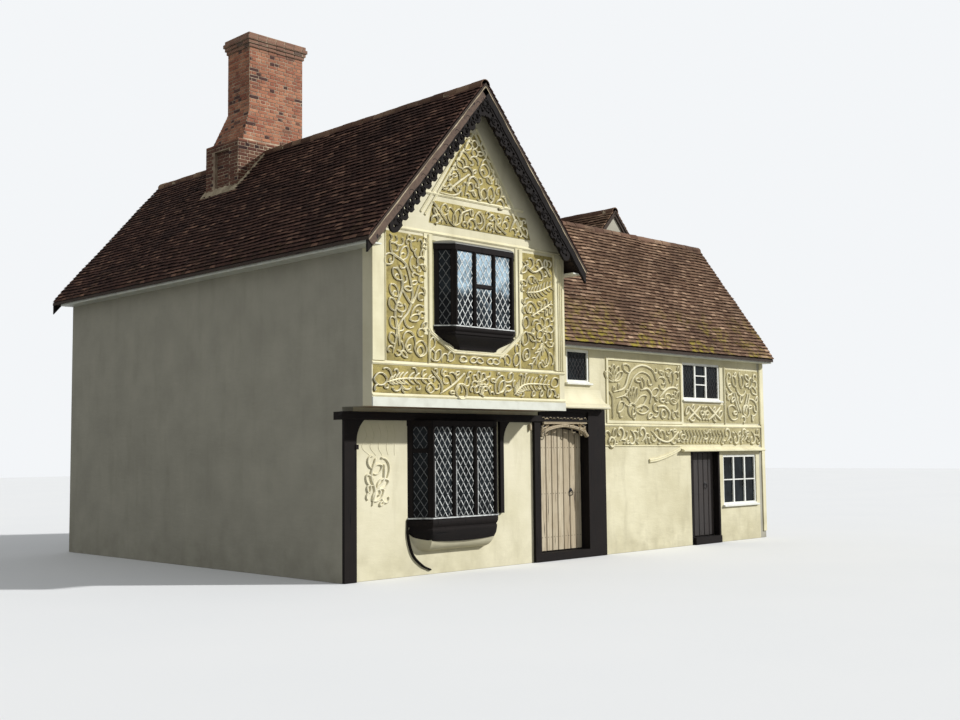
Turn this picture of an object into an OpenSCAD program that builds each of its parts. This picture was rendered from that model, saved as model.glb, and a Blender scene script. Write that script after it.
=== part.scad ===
// Half timbered house: a jettied cross-wing with a carved gable, a long lower range
// beside it and a short wing behind the range. Sizes are in millimetres.
// X runs along the street front, Y runs from the front to the back, Z is up from the ground.
// Positions are first worked out from the outer left corner of the cross-wing and the
// plane of its jettied front, then moved so that the origin is under the middle of the house.

/* [Cross-wing] */
// Width of the cross-wing over its flank walls
wing_width = 4500; // [4400:10:4600]
// Length of the cross-wing from the jettied front to the back
wing_length = 10000; // [9700:10:10500]
// Height of the cross-wing's soffit above the ground
wing_wall_height = 5205; // [5140:5:5300]
// Pitch of the cross-wing's roof in degrees
wing_pitch = 48.85; // [47:0.05:51]
// Overhang of the tiles past the flank walls
eaves_overhang = 310; // [260:5:360]
// Overhang of the tiles past the gable walls
verge_overhang = 310; // [260:5:360]

/* [Walls and floors] */
// Thickness of the outer walls
wall_thickness = 220; // [190:5:250]
// Thickness of the roofs from the tiles to the underside of the rafters
roof_thickness = 95; // [90:1:110]
// Thickness of the tiles and their battens
tile_thickness = 32; // [26:1:38]
// Thickness of the upper floors
floor_thickness = 160; // [120:5:200]
// Thickness of the ground floor above the ground
ground_floor_thickness = 150; // [120:5:180]
// Height of the tile edge above the soffit
tile_edge_rise = 85; // [78:1:90]
// Distance from the tile edge back to the board under it
board_setback = 40; // [30:2:46]
// Radius of the round ridge tiles
ridge_tile_radius = 105; // [90:5:120]
// Thickness of the boards under the eaves
eaves_board = 25; // [18:1:32]
// Width of the plain way between the cross-wing and the range on each storey
way_width = 900; // [800:10:1000]
// Height of that way above each floor
way_height = 2000; // [1900:10:2100]
// Distance from the range's back wall to that way
way_setback = 350; // [250:10:450]

/* [Jetty] */
// Distance that the upper storey stands out over the lower one
jetty_depth = 730; // [650:10:800]
// Height of the underside of the upper storey above the ground
jetty_height = 2750; // [2720:5:2780]
// Height of the underside of the black plate above the ground
plate_foot = 2550; // [2530:5:2570]
// Height of the face of the black plate
jetty_plate_height = 130; // [110:5:140]
// Distance that the black plate stands out of the lower wall
jetty_plate_projection = 90; // [70:5:110]
// Distance that the end of the plate stands out of the flank wall
jetty_plate_end = 90; // [60:5:140]
// Height of the painted board along the edge of the jetty
fascia_height = 140; // [120:5:160]
// Thickness of the painted board along the edge of the jetty
fascia_thickness = 30; // [20:2:40]
// Width of the black corner post
corner_post_width = 245; // [220:5:270]
// Distance that the black posts stand out of the lower wall
post_projection = 60; // [40:5:70]
// Width of the post at the right of the lower oriel
side_post_width = 90; // [70:5:110]
// Width of the curved braces between the posts and the plate
brace_width = 160; // [130:5:190]
// Height of the curved braces between the posts and the plate
brace_height = 340; // [300:5:380]
// Height of the moulded collar on the corner post above the ground
collar_foot = 2080; // [2040:5:2120]
// Height of that collar
collar_height = 75; // [60:5:90]

/* [Upper oriel window] */
// Half of the upper oriel's width at the wall
upper_oriel_half = 954; // [900:2:1000]
// Half of the upper oriel's width at its front
upper_oriel_front_half = 680; // [640:2:720]
// Distance that the upper oriel stands out of the wall
upper_oriel_projection = 235; // [200:5:250]
// Height of the upper oriel's lights above the ground, at their foot
upper_oriel_sill = 4070; // [4040:5:4100]
// Height of the upper oriel's lights above the ground, at their head
upper_oriel_head = 5320; // [5260:5:5360]
// Height of the moulded sill under the lights
oriel_sill_height = 130; // [110:5:150]
// Height of the carved bracket under the upper oriel
upper_bracket_height = 230; // [200:5:250]
// Distance that the bracket's foot stands in from the oriel's corners
upper_bracket_taper = 190; // [160:5:220]
// Height of the transom of the oriel's middle light above the ground
upper_transom = 4735; // [4700:5:4770]
// Height of the head beam over the lights
oriel_head_height = 90; // [70:5:110]

/* [Lower oriel window] */
// Distance from the flank wall to the middle of the lower oriel
lower_oriel_middle = 2420; // [2380:5:2460]
// Half of the lower oriel's width at the wall
lower_oriel_half = 1060; // [1020:5:1100]
// Half of the lower oriel's width at its front
lower_oriel_front_half = 760; // [720:5:800]
// Distance that the lower oriel stands out of the wall
lower_oriel_projection = 290; // [260:5:320]
// Height of the lower oriel's lights above the ground, at their foot
lower_oriel_sill = 940; // [900:5:980]
// Height of the transom of the lower oriel's side lights above the ground
lower_transom = 2030; // [2000:5:2060]
// Height of the moulded sill under the lower lights
lower_sill_height = 220; // [180:5:260]
// Height of the coved base under the lower sill
lower_cove_height = 330; // [280:5:360]
// Width of the oriels' posts and mullions
oriel_post = 62; // [50:2:74]
// Thickness of the leaded glass
glass_thickness = 8; // [5:1:12]
// Height of the transom in the oriels' side lights and in the middle upper light
transom_height = 45; // [35:5:55]

/* [Gable and verge boards] */
// Distance that the raised mouldings stand out of the render
moulding_projection = 24; // [16:2:30]
// Height of a raised string moulding
string_height = 60; // [50:2:76]
// Width of the raised boards at the gable's corners
corner_board_width = 240; // [200:5:280]
// Height of the lower frieze over the jetty board
gable_frieze_height = 500; // [460:5:540]
// Height of the string between the panels and the gable above the eaves' soffit
gable_string_rise = 345; // [295:5:395]
// Height of the string between the two bands of the gable above the lower string
gable_band_height = 660; // [600:5:720]
// Distance from the foot of the upper oriel's bracket to the foot of the boards beside it
board_foot_rise = 200; // [150:10:250]
// Distance from the edge of the tiles to the face of a verge board
verge_setback = 20; // [14:1:30]
// Width of a carved verge board
verge_board_width = 330; // [300:5:350]
// Width of the plain strip along a verge board's upper edge
verge_strip_width = 125; // [110:5:140]
// Distance from the flank wall to the hanging end of a verge board's carved part
verge_carving_start = 60; // [0:10:120]
// Thickness of a carved verge board
verge_board_thickness = 45; // [36:1:56]
// Distance from one cusp of a verge board to the next
cusp_pitch = 190; // [180:5:220]
// Radius of the cusps cut in a verge board's lower edge
cusp_radius = 62; // [50:2:70]
// Radius of the round holes pierced through a verge board
pierced_radius = 24; // [16:2:30]

/* [Chimney] */
// Distance from the flank wall to the chimney's left face
chimney_left = 1525; // [1450:5:1600]
// Width of the chimney's base
chimney_base_width = 1645; // [1560:5:1720]
// Distance from the jettied front to the chimney's front face
chimney_front = 6030; // [5800:10:6300]
// Depth of the chimney's base from front to back
chimney_base_depth = 1190; // [1100:10:1280]
// Height of the top of the chimney's base above the ground
chimney_base_top = 8410; // [8330:10:8500]
// Height of the sloped shoulders between the base and the shaft
chimney_shoulder = 670; // [560:10:740]
// Width of the flat ledge at the left of the base's top
chimney_ledge = 130; // [90:5:170]
// Step between the front faces of the base and the shaft
chimney_front_step = 35; // [20:5:50]
// Width of the chimney's shaft
chimney_shaft_width = 1330; // [1280:5:1380]
// Depth of the chimney's shaft
chimney_shaft_depth = 790; // [730:5:850]
// Step between the right faces of the base and the shaft
chimney_right_step = 30; // [10:5:50]
// Height of the top of the chimney's shaft above the ground
chimney_shaft_top = 10380; // [10200:10:10500]
// Height of one projecting course of the chimney's head
chimney_course = 72; // [66:1:78]
// Number of projecting courses at the chimney's head
chimney_courses = 4; // [3:1:5]
// Step of each projecting course
chimney_course_step = 26; // [18:2:32]
// Width of each flue
flue_width = 330; // [280:5:380]
// Depth of each flue from front to back
flue_depth = 260; // [220:5:300]
// Depth of the flues below the chimney's head
flue_drop = 600; // [500:10:700]
// Depth of the recessed panel in the chimney's left face
chimney_panel_recess = 60; // [40:5:80]
// Width of the brick piers beside the recessed panel
chimney_pier = 330; // [300:5:380]

/* [Main range] */
// Length of the main range from the cross-wing to its right gable
range_length = 7850; // [7800:10:8200]
// Depth of the main range over its walls
range_depth = 3520; // [3400:10:3700]
// Height of the main range's soffit above the ground
range_wall_height = 3990; // [3960:5:4040]
// Pitch of the main range's roof in degrees
range_pitch = 54.6; // [53:0.1:56]
// Overhang of the tiles past the front and rear walls of the range
range_eaves = 250; // [220:5:280]
// Overhang of the tiles past the right gable
range_verge = 100; // [70:5:140]
// Height of the underside of the range's upper floor
range_floor_height = 2560; // [2540:5:2580]
// Height where the upper wall of the range meets the lower wall
range_wall_joint = 2050; // [2040:5:2070]
// Height of the underside of the ledge over the side door
hood_height = 1975; // [1970:5:1985]
// Distance that the ledge stands out of the wall
hood_projection = 120; // [90:5:150]
// Distance that the ledge runs past the frame of the side door
ledge_lap = 380; // [340:10:420]
// Height of the scrolled frieze's top moulding above the ground
range_string_height = 2500; // [2460:5:2540]
// Width of the raised border round the range's panels
panel_border = 55; // [40:5:70]
// Distance of the raised border from the door post, and from the soffit over it
panel_clearance = 120; // [110:5:140]
// Distance of the raised border from the three-part window
panel_window_clearance = 40; // [20:5:60]

/* [Windows] */
// Width of the white window frames
window_frame = 50; // [40:2:60]
// Depth of the white window frames
window_depth = 70; // [50:5:90]
// Distance from the face of the wall to the window frames
window_setback = 20; // [10:5:30]
// Distance from the cross-wing to the small window
small_window_offset = 910; // [880:5:940]
// Width of the small window
small_window_width = 680; // [640:5:720]
// Height of the small window's foot above the ground
small_window_sill = 3330; // [3300:5:3360]
// Height of the small window
small_window_height = 640; // [600:5:660]
// Distance from the cross-wing to the three-part window
casement_offset = 4690; // [4640:5:4740]
// Width of the three-part window
casement_width = 1410; // [1360:5:1440]
// Height of the three-part window's foot above the ground
casement_sill = 3090; // [3060:5:3120]
// Height of the three-part window
casement_height = 795; // [760:5:820]
// Distance from the cross-wing to the lower window
lower_window_offset = 6150; // [6120:5:6180]
// Width of the lower window
lower_window_width = 1340; // [1300:5:1380]
// Height of the lower window's foot above the ground
lower_window_sill = 800; // [760:5:840]
// Height of the lower window
lower_window_height = 1100; // [1060:5:1130]

/* [Front door] */
// Distance from the cross-wing to the front doorway
front_door_offset = 80; // [70:2:90]
// Width of the front doorway
front_door_width = 1375; // [1340:5:1400]
// Height of the springing of the front doorway's arch
arch_springing = 2285; // [2260:5:2300]
// Rise of the front doorway's arch
arch_rise = 180; // [160:5:190]
// Radius of the tight curve at each side of the arch
arch_shoulder_radius = 150; // [120:5:180]
// Angle of the tight curve at each side of the arch in degrees
arch_shoulder_angle = 60; // [52:1:66]
// Height of the top of the arched head above the ground
door_head_top = 2560; // [2540:5:2580]
// Height of the top of the carved lintel above the ground
lintel_top = 2820; // [2800:5:2840]
// Width of the thick post at the right of the front door
door_post_width = 515; // [480:5:540]
// Distance that the coved apron over the front door stands out of the wall
apron_projection = 250; // [220:5:280]
// Height of the moulded edge of the apron
apron_edge = 90; // [70:5:110]
// Height of the apron over the lintel
apron_height = 380; // [340:5:420]

/* [Doors and hinges] */
// Thickness of a door's leaf
leaf_thickness = 50; // [44:2:56]
// Running clearance round a leaf
leaf_clearance = 6; // [6:1:9]
// Distance that a leaf laps behind its frame
leaf_lap = 5; // [4:1:8]
// Depth of a door's frame from the face of the wall
frame_depth = 140; // [120:5:145]
// Width of the side door's frame
side_frame_width = 60; // [60:2:70]
// Distance from the cross-wing to the side doorway
side_door_offset = 4980; // [4960:5:4990]
// Width of the side doorway
side_door_width = 980; // [940:5:1000]
// Radius of the hinge pins
hinge_pin_radius = 8; // [7:0.5:9]
// Gap between a hinge pin and its eye
hinge_gap = 0.3; // [0.2:0.1:0.6]
// Wall of the hinge eyes
hinge_eye_wall = 8; // [6:1:9]
// Height of a hinge eye
hinge_eye_height = 44; // [36:2:52]
// Length of a hinge strap along the leaf
hinge_strap = 700; // [500:10:760]
// Distance of the lower hinge above the leaf's foot and of the upper hinge below its shoulder
hinge_inset = 260; // [200:10:320]

/* [Rear wing] */
// Distance from the cross-wing to the middle of the rear wing
rear_wing_offset = 4900; // [4800:10:5000]
// Width of the rear wing
rear_wing_width = 3400; // [3300:10:3460]
// Length of the rear wing behind the range
rear_wing_length = 2750; // [2400:10:3000]
// Height of the rear wing's soffit above the ground
rear_wing_wall_height = 5325; // [5280:5:5360]
// Pitch of the rear wing's roof in degrees
rear_wing_pitch = 47; // [46:0.1:48]
// Thickness of the small gable over the range's ridge
gablet_thickness = 100; // [80:5:120]
// Width of the rear windows
rear_window_width = 1000; // [900:10:1100]
// Height of the rear windows
rear_window_height = 950; // [850:10:1000]
// Height of the rear windows' foot above each floor
rear_window_sill = 950; // [850:10:1000]

/* [Hidden] */
$fn = 48;
// Small distance by which a cutting shape runs past the face that it cuts
over = 20;
// Space beside an oriel for the edges of its sill and head
oriel_margin = 30;
// Depth of the foot of the upper bracket and of the lower cove
bracket_foot_depth = 60;
cove_foot_depth = 20;
// Gap under the rafters and the ridge tiles, so that sloping faces meet without pressing
seat = 0.3;

// Outlines of the cross-wing
wing_middle = wing_width / 2;
wing_tile_edge = wing_wall_height + tile_edge_rise;
wing_ridge = wing_tile_edge + (wing_middle + eaves_overhang) * tan(wing_pitch);
wing_roof_drop = roof_thickness / cos(wing_pitch);
lower_back = jetty_depth + wall_thickness;
wing_inner_right = wing_width - wall_thickness;
wing_inner_back = wing_length - wall_thickness;
plate_top = plate_foot + jetty_plate_height;
plate_chamfer = 25;
wing_floor_top = jetty_height + floor_thickness;
gable_string_height = wing_wall_height + gable_string_rise;
gable_upper_string_height = gable_string_height + gable_band_height;

// Outlines of the main range
range_front = jetty_depth;
range_back = range_front + range_depth;
range_middle = range_front + range_depth / 2;
range_inner_front = range_front + wall_thickness;
range_inner_back = range_back - wall_thickness;
range_end = wing_width + range_length;
range_inner_end = range_end - wall_thickness;
range_tile_edge = range_wall_height + tile_edge_rise;
range_ridge = range_tile_edge + (range_depth / 2 + range_eaves) * tan(range_pitch);
range_roof_drop = roof_thickness / cos(range_pitch);

// Outlines of the rear wing
rear_middle = wing_width + rear_wing_offset;
rear_left = rear_middle - rear_wing_width / 2;
rear_right = rear_middle + rear_wing_width / 2;
rear_back = range_back + rear_wing_length;
rear_tile_edge = rear_wing_wall_height + tile_edge_rise;
rear_ridge = rear_tile_edge + (rear_wing_width / 2 + range_eaves) * tan(rear_wing_pitch);
rear_roof_drop = roof_thickness / cos(rear_wing_pitch);
gablet_setback = 60;
gablet_face = range_middle + ridge_tile_radius + gablet_setback + over;

// Chimney
chimney_right = chimney_left + chimney_base_width;
chimney_back = chimney_front + chimney_base_depth;
shaft_right = chimney_right - chimney_right_step;
shaft_left = shaft_right - chimney_shaft_width;
shaft_front = chimney_front + chimney_front_step;
shaft_back = shaft_front + chimney_shaft_depth;
shoulder_top = chimney_base_top + chimney_shoulder;
chimney_height = chimney_shaft_top + chimney_courses * chimney_course;
panel_margin = 160;
panel_foot = wing_tile_edge + (chimney_left + eaves_overhang) * tan(wing_pitch) - 2 * panel_margin;

// Front door
door_left = wing_width + front_door_offset;
door_right = door_left + front_door_width;
door_post_right = door_right + door_post_width;
frame_back = range_front + frame_depth;
leaf_front = frame_back + leaf_clearance;
leaf_back = leaf_front + leaf_thickness;
door_foot = ground_floor_thickness + 2 * leaf_clearance;

// Side door
side_left = wing_width + side_door_offset;
side_right = side_left + side_door_width;
side_frame_left = side_left - side_frame_width;
side_frame_right = side_right + side_frame_width;

// Hinges, from the edge of the doorway and the back of the leaf
hinge_side = 30;
hinge_behind = 20;
strap_height = 40;
strap_thickness = 8;
hinge_eye_radius = hinge_pin_radius + hinge_gap + hinge_eye_wall;

// Middle of the house on the ground
origin_x = (range_end + range_verge - eaves_overhang) / 2;
origin_y = wing_length / 2;

render_colour = [0.90, 0.86, 0.72];
ground_colour = [0.80, 0.70, 0.42];
timber_colour = [0.10, 0.08, 0.07];
oak_colour = [0.62, 0.54, 0.43];
white_colour = [0.93, 0.92, 0.87];
tile_colour = [0.40, 0.20, 0.15];
range_tile_colour = [0.52, 0.34, 0.22];
brick_colour = [0.62, 0.29, 0.19];
glass_colour = [0.45, 0.52, 0.56];
lead_colour = [0.62, 0.63, 0.60];

function reach(half, front_half, projection) = norm([half - front_half, projection]);

// Plan of a canted window: its outline at the wall and at the front, moved in by inset
function canted(half, front_half, projection, inset) =
  let (
    slant = reach(half, front_half, projection),
    wall_x = half - inset * slant / projection,
    shift = inset * slant + (projection - inset) * (half - front_half),
    front_x = half - shift / projection
  )
  [[-wall_x, 0], [-front_x, inset - projection], [front_x, inset - projection], [wall_x, 0]];

// One half of a four-centred arch, from its springing at the left to its apex
function arch_half(half, rise, radius, angle, steps) =
  let (
    across = radius - half,
    toward = across * cos(angle) + rise * sin(angle),
    stretch = (radius * radius - across * across - rise * rise) / (2 * (toward - radius)),
    centre = [across + stretch * cos(angle), -stretch * sin(angle)],
    apex_angle = acos(-centre[0] / (stretch + radius))
  )
  concat(
    [for (i = [0:steps]) let (a = 180 - i * angle / steps)
      [across + radius * cos(a), radius * sin(a)]],
    [for (i = [1:steps]) let (a = 180 - angle - i * (180 - angle - apex_angle) / steps)
      centre + (stretch + radius) * [cos(a), sin(a)]]
  );
function arch_outline(half, rise, radius, angle, steps) =
  let (left = arch_half(half, rise, radius, angle, steps))
  concat(left, [for (i = [len(left) - 2:-1:0]) [-left[i][0], left[i][1]]]);

module place() {
  translate([-origin_x, -origin_y, 0]) children();
}

module block(from, to) {
  translate(from) cube(to - from);
}

// Draws an outline of X and Z along Y
module along_y(from, to) {
  translate([0, to, 0]) rotate([90, 0, 0]) linear_extrude(to - from) children();
}

// Draws an outline of Y and Z along X
module along_x(from, to) {
  translate([from, 0, 0]) rotate([90, 0, 90]) linear_extrude(to - from) children();
}

// Everything under the cross-wing's roof, seen from the front
module wing_outline() {
  polygon([
    [0, 0], [0, wing_wall_height], [-eaves_overhang, wing_wall_height],
    [-eaves_overhang, wing_tile_edge], [wing_middle, wing_ridge],
    [wing_width + eaves_overhang, wing_tile_edge],
    [wing_width + eaves_overhang, wing_wall_height], [wing_width, wing_wall_height],
    [wing_width, 0]
  ]);
}

// Everything under the range's roof, seen from the side
module range_outline() {
  polygon([
    [range_front, 0], [range_front, range_wall_height],
    [range_front - range_eaves, range_wall_height],
    [range_front - range_eaves, range_tile_edge], [range_middle, range_ridge],
    [range_back + range_eaves, range_tile_edge],
    [range_back + range_eaves, range_wall_height], [range_back, range_wall_height],
    [range_back, 0]
  ]);
}

// The tiles of one slope of a roof, from their edge up to the ridge
module tile_slope(edge, edge_height, middle, pitch) {
  drop = tile_thickness / cos(pitch);
  rise = (middle - edge) * tan(pitch);
  polygon([
    [edge, edge_height], [middle, edge_height + rise],
    [middle, edge_height + rise - drop], [edge, edge_height - drop]
  ]);
}

// The rafters under those tiles, which end on the eaves boards
module rafter_slope(edge, edge_height, middle, pitch, soffit) {
  tile_foot = edge_height - tile_thickness / cos(pitch);
  rafter_foot = edge_height - roof_thickness / cos(pitch);
  board_top = soffit + eaves_board;
  board_inner = board_setback + eaves_board;
  run = middle - edge;
  polygon([
    [edge + board_inner, tile_foot + board_inner * tan(pitch)],
    [middle, tile_foot + run * tan(pitch)], [middle, rafter_foot + run * tan(pitch)],
    [edge + (board_top - rafter_foot) / tan(pitch), board_top],
    [edge + board_inner, board_top]
  ]);
}

// A gable wall's outline up to the underside of its roof
module gable_outline(left, right, foot, middle, ridge, pitch, drop) {
  under_middle = ridge - drop - seat;
  under_left = under_middle - (middle - left) * tan(pitch);
  under_right = under_middle - (right - middle) * tan(pitch);
  polygon([
    [left, foot], [right, foot], [right, under_right], [middle, under_middle],
    [left, under_left]
  ]);
}

// Stacked rings of a canted plan, as a moulded sill, bracket or cove; profile holds the
// inset, the height and the narrowing at each side of each ring, from the foot upwards
module canted_loft(half, front_half, projection, profile) {
  rings = len(profile);
  points = [
    for (step = profile)
      for (p = canted(half - step[2], front_half - step[2], projection, step[0]))
        [p[0], p[1], step[1]]
  ];
  sides = [
    for (i = [0:rings - 2], k = [0:3])
      let (a = 4 * i + k, b = 4 * i + (k + 1) % 4) [a, a + 4, b + 4, b]
  ];
  foot = [0, 1, 2, 3];
  top = [for (k = [3:-1:0]) 4 * (rings - 1) + k];
  polyhedron(points, concat(sides, [foot], [top]));
}

// Zones of a canted window's plan that hold its posts and mullions
module post_zones(half, front_half, projection, lights) {
  corner = canted(half, front_half, projection, 0);
  spacing = 2 * front_half / lights;
  for (side = [-1, 1]) {
    translate([side * half, 0]) square(2 * oriel_post, center = true);
    translate([side * front_half, -projection])
      square(1.6 * oriel_post, center = true);
  }
  for (i = [1:lights - 1])
    translate([-front_half + i * spacing, corner[1][1]])
      square([oriel_post, 4 * oriel_post], center = true);
}

module canted_band(half, front_half, projection, from, to) {
  difference() {
    polygon(canted(half, front_half, projection, from));
    polygon(canted(half, front_half, projection, to));
  }
}

// Posts, mullions, head and transoms of a canted window
module canted_frame(half, front_half, projection, foot, head, lights, transom, middle_only) {
  light_width = 2 * front_half / lights;
  translate([0, 0, foot]) linear_extrude(head - foot) intersection() {
    canted_band(half, front_half, projection, 0, oriel_post);
    post_zones(half, front_half, projection, lights);
  }
  translate([0, 0, head]) linear_extrude(oriel_head_height)
    polygon(canted(half, front_half, projection, -8));
  translate([0, 0, transom]) linear_extrude(transom_height) intersection() {
    canted_band(half, front_half, projection, 6, oriel_post - 6);
    if (middle_only)
      translate([-light_width / 2, -projection - over])
        square([light_width, oriel_post + 2 * over]);
    else
      for (side = [-1, 1])
        translate([side * (half + front_half) / 2, -projection / 2])
          square([half - front_half, projection], center = true);
  }
}

// Leaded glass of a canted window, between its posts and transoms
module canted_glass(half, front_half, projection, foot, head, lights, transom, middle_only) {
  from = (oriel_post - glass_thickness) / 2;
  light_width = 2 * front_half / lights;
  difference() {
    translate([0, 0, foot]) linear_extrude(head - foot) difference() {
      canted_band(half, front_half, projection, from, from + glass_thickness);
      post_zones(half, front_half, projection, lights);
    }
    if (middle_only)
      translate([-light_width / 2, -projection - over, transom])
        cube([light_width, oriel_post + 2 * over, transom_height]);
    else
      for (side = [-1, 1])
        translate([side * (half + front_half) / 2, -projection / 2, 0])
          translate([front_half - half, -projection, 2 * transom] / 2)
            cube([half - front_half, projection, transom_height]);
  }
}

// Rings of an ogee curve, from a small inset at the top to a large one at the foot
function ogee(foot_inset, top_inset, foot, top, taper, steps) = [
  for (i = [0:steps])
    let (t = i / steps, bend = (1 - cos(180 * t)) / 2)
    [foot_inset + (top_inset - foot_inset) * bend, foot + (top - foot) * t, taper * (1 - bend)]
];
// Rings of a hollow cove that springs from the wall and flares out to the top
function cove(foot_inset, top_inset, foot, top, steps) = [
  for (i = [0:steps])
    let (a = 90 * i / steps)
    [foot_inset + (top_inset - foot_inset) * sin(a), top - (top - foot) * cos(a), 0]
];
// Rings of a moulded sill: a fillet, a hollow and a broad roll
function sill_rings(foot, height) = [
  for (step = [
    [10, 0], [10, 0.12], [22, 0.18], [22, 0.30], [2, 0.42], [-10, 0.54], [-14, 0.68],
    [-10, 0.82], [0, 0.90], [0, 1]
  ])
    [step[0], foot + height * step[1], 0]
];

// Window with a frame and upright bars; each bar or rail is at a share of the opening
module window_frame_piece(width, height, bars, rails) {
  difference() {
    cube([width, window_depth, height]);
    translate([window_frame, -over, window_frame])
      cube([width - 2 * window_frame, window_depth + 2 * over, height - 2 * window_frame]);
  }
  for (bar = bars)
    translate([bar * width - window_frame / 2, 0, window_frame])
      cube([window_frame, window_depth, height - 2 * window_frame]);
  for (rail = rails)
    translate([rail[0] * width, 0, rail[2] * height - window_frame / 4])
      cube([(rail[1] - rail[0]) * width, window_depth, window_frame / 2]);
}

// Glass of such a window, cut out round its bars and rails
module window_glass_piece(width, height, bars, rails) {
  difference() {
    translate([window_frame, (window_depth - glass_thickness) / 2, window_frame])
      cube([width - 2 * window_frame, glass_thickness, height - 2 * window_frame]);
    for (bar = bars)
      translate([bar * width - window_frame / 2, 0, 0])
        cube([window_frame, window_depth, height]);
    for (rail = rails)
      translate([rail[0] * width, 0, rail[2] * height - window_frame / 4])
        cube([(rail[1] - rail[0]) * width, window_depth, window_frame / 2]);
  }
}

small_bars = [];
small_rails = [];
casement_bars = [0.345, 0.64];
casement_rails = [[0.345, 0.64, 0.66], [0.345, 0.64, 0.42]];
lower_bars = [1 / 3, 2 / 3];
lower_rails = [[0, 1, 0.5]];
rear_bars = [0.5];
rear_rails = [];

module at_small_window() {
  translate([wing_width + small_window_offset, range_front + window_setback, small_window_sill])
    children();
}
module at_casement() {
  translate([wing_width + casement_offset, range_front + window_setback, casement_sill])
    children();
}
module at_lower_window() {
  translate([wing_width + lower_window_offset, range_front + window_setback, lower_window_sill])
    children();
}
// The four rear windows: two in the cross-wing's back and two in the rear wing's back
rear_window_places = [
  [wing_middle, wing_length, ground_floor_thickness],
  [wing_middle, wing_length, wing_floor_top],
  [rear_middle, rear_back, ground_floor_thickness],
  [rear_middle, rear_back, range_floor_height + floor_thickness]
];
module at_rear_windows(chosen) {
  for (i = chosen)
    translate(rear_window_places[i] + [rear_window_width / 2, -window_setback, rear_window_sill])
      rotate([0, 0, 180]) children();
}
module rear_window_hole() {
  translate([0, -over - window_setback, 0])
    cube([rear_window_width, wall_thickness + 2 * over, rear_window_height]);
}

module chimney_plan_hole() {
  translate([chimney_left, chimney_front])
    square([chimney_base_width, chimney_base_depth]);
}

module ground_floor() {
  color(oak_colour) place() linear_extrude(ground_floor_thickness) difference() {
    union() {
      translate([wall_thickness, lower_back])
        square([wing_inner_right - wall_thickness, wing_inner_back - lower_back]);
      translate([wing_width, range_inner_front])
        square([range_inner_end - wing_width, range_inner_back - range_inner_front]);
      translate([rear_left + wall_thickness, range_inner_back - over])
        square([
          rear_wing_width - 2 * wall_thickness,
          rear_back - wall_thickness - range_inner_back + over
        ]);
    }
    chimney_plan_hole();
  }
}

// A flank wall: its lower storey stands back under the jetty, and its top follows the rafters
module flank_wall(lower_front) {
  wall_top = wing_tile_edge + eaves_overhang * tan(wing_pitch) - wing_roof_drop - seat;
  inner_top = wall_top + wall_thickness * tan(wing_pitch);
  difference() {
    along_x(0, wall_thickness) polygon([
      [lower_front, 0], [wing_inner_back, 0], [wing_inner_back, inner_top],
      [wall_thickness, inner_top], [wall_thickness, jetty_height],
      [lower_front, jetty_height]
    ]);
    along_y(-over, wing_length + over) polygon([
      [-over, wall_top - over * tan(wing_pitch)],
      [wall_thickness + over, inner_top + over * tan(wing_pitch)],
      [-over, inner_top + 2 * over * tan(wing_pitch)]
    ]);
  }
}

module wing_left_wall() {
  color(render_colour) place() difference() {
    flank_wall(jetty_depth);
    block([-over, jetty_depth - over, plate_foot], [wall_thickness + over, lower_back, plate_top]);
  }
}

// The right flank wall has a plain way through to the range on each storey
module wing_right_wall() {
  way_front = range_inner_back - way_setback - way_width;
  color(render_colour) place() difference() {
    translate([wing_width, 0, 0]) mirror([1, 0, 0]) flank_wall(lower_back);
    for (foot = [ground_floor_thickness, wing_floor_top])
      translate([wing_inner_right - over, way_front, foot])
        cube([wall_thickness + 2 * over, way_width, way_height]);
  }
}

// The lower front wall is open where the oriel stands, from its cove up to the plate;
// a strip of it closes the space over the plate
module wing_lower_front_wall() {
  color(render_colour) place() {
    difference() {
      block(
        [wall_thickness, jetty_depth, 0],
        [door_left - front_door_offset * 2, lower_back, plate_foot]
      );
      block(
        [lower_oriel_middle - lower_oriel_half + oriel_post, jetty_depth - over, lower_oriel_sill],
        [lower_oriel_middle + lower_oriel_half - oriel_post, lower_back + over, plate_foot + over]
      );
    }
    block([wall_thickness, jetty_depth, plate_top], [door_left, lower_back, jetty_height]);
    block([wing_width, jetty_depth, jetty_height], [door_left, lower_back, lintel_top]);
  }
}

module wing_front_gable() {
  color(ground_colour) place() difference() {
    along_y(0, wall_thickness)
      gable_outline(0, wing_width, jetty_height, wing_middle, wing_ridge, wing_pitch, wing_roof_drop);
    block(
      [wing_middle - upper_oriel_half + oriel_post, -over, upper_oriel_sill],
      [wing_middle + upper_oriel_half - oriel_post, wall_thickness + over, upper_oriel_head]
    );
  }
}

module wing_rear_gable() {
  color(render_colour) place() difference() {
    along_y(wing_inner_back, wing_length)
      gable_outline(0, wing_width, 0, wing_middle, wing_ridge, wing_pitch, wing_roof_drop);
    at_rear_windows([0, 1]) rear_window_hole();
  }
}

module wing_upper_floor() {
  color(oak_colour) place() translate([0, 0, jetty_height]) linear_extrude(floor_thickness)
    difference() {
      translate([wall_thickness, wall_thickness])
        square([wing_inner_right - wall_thickness, wing_inner_back - wall_thickness]);
      chimney_plan_hole();
    }
}

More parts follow.
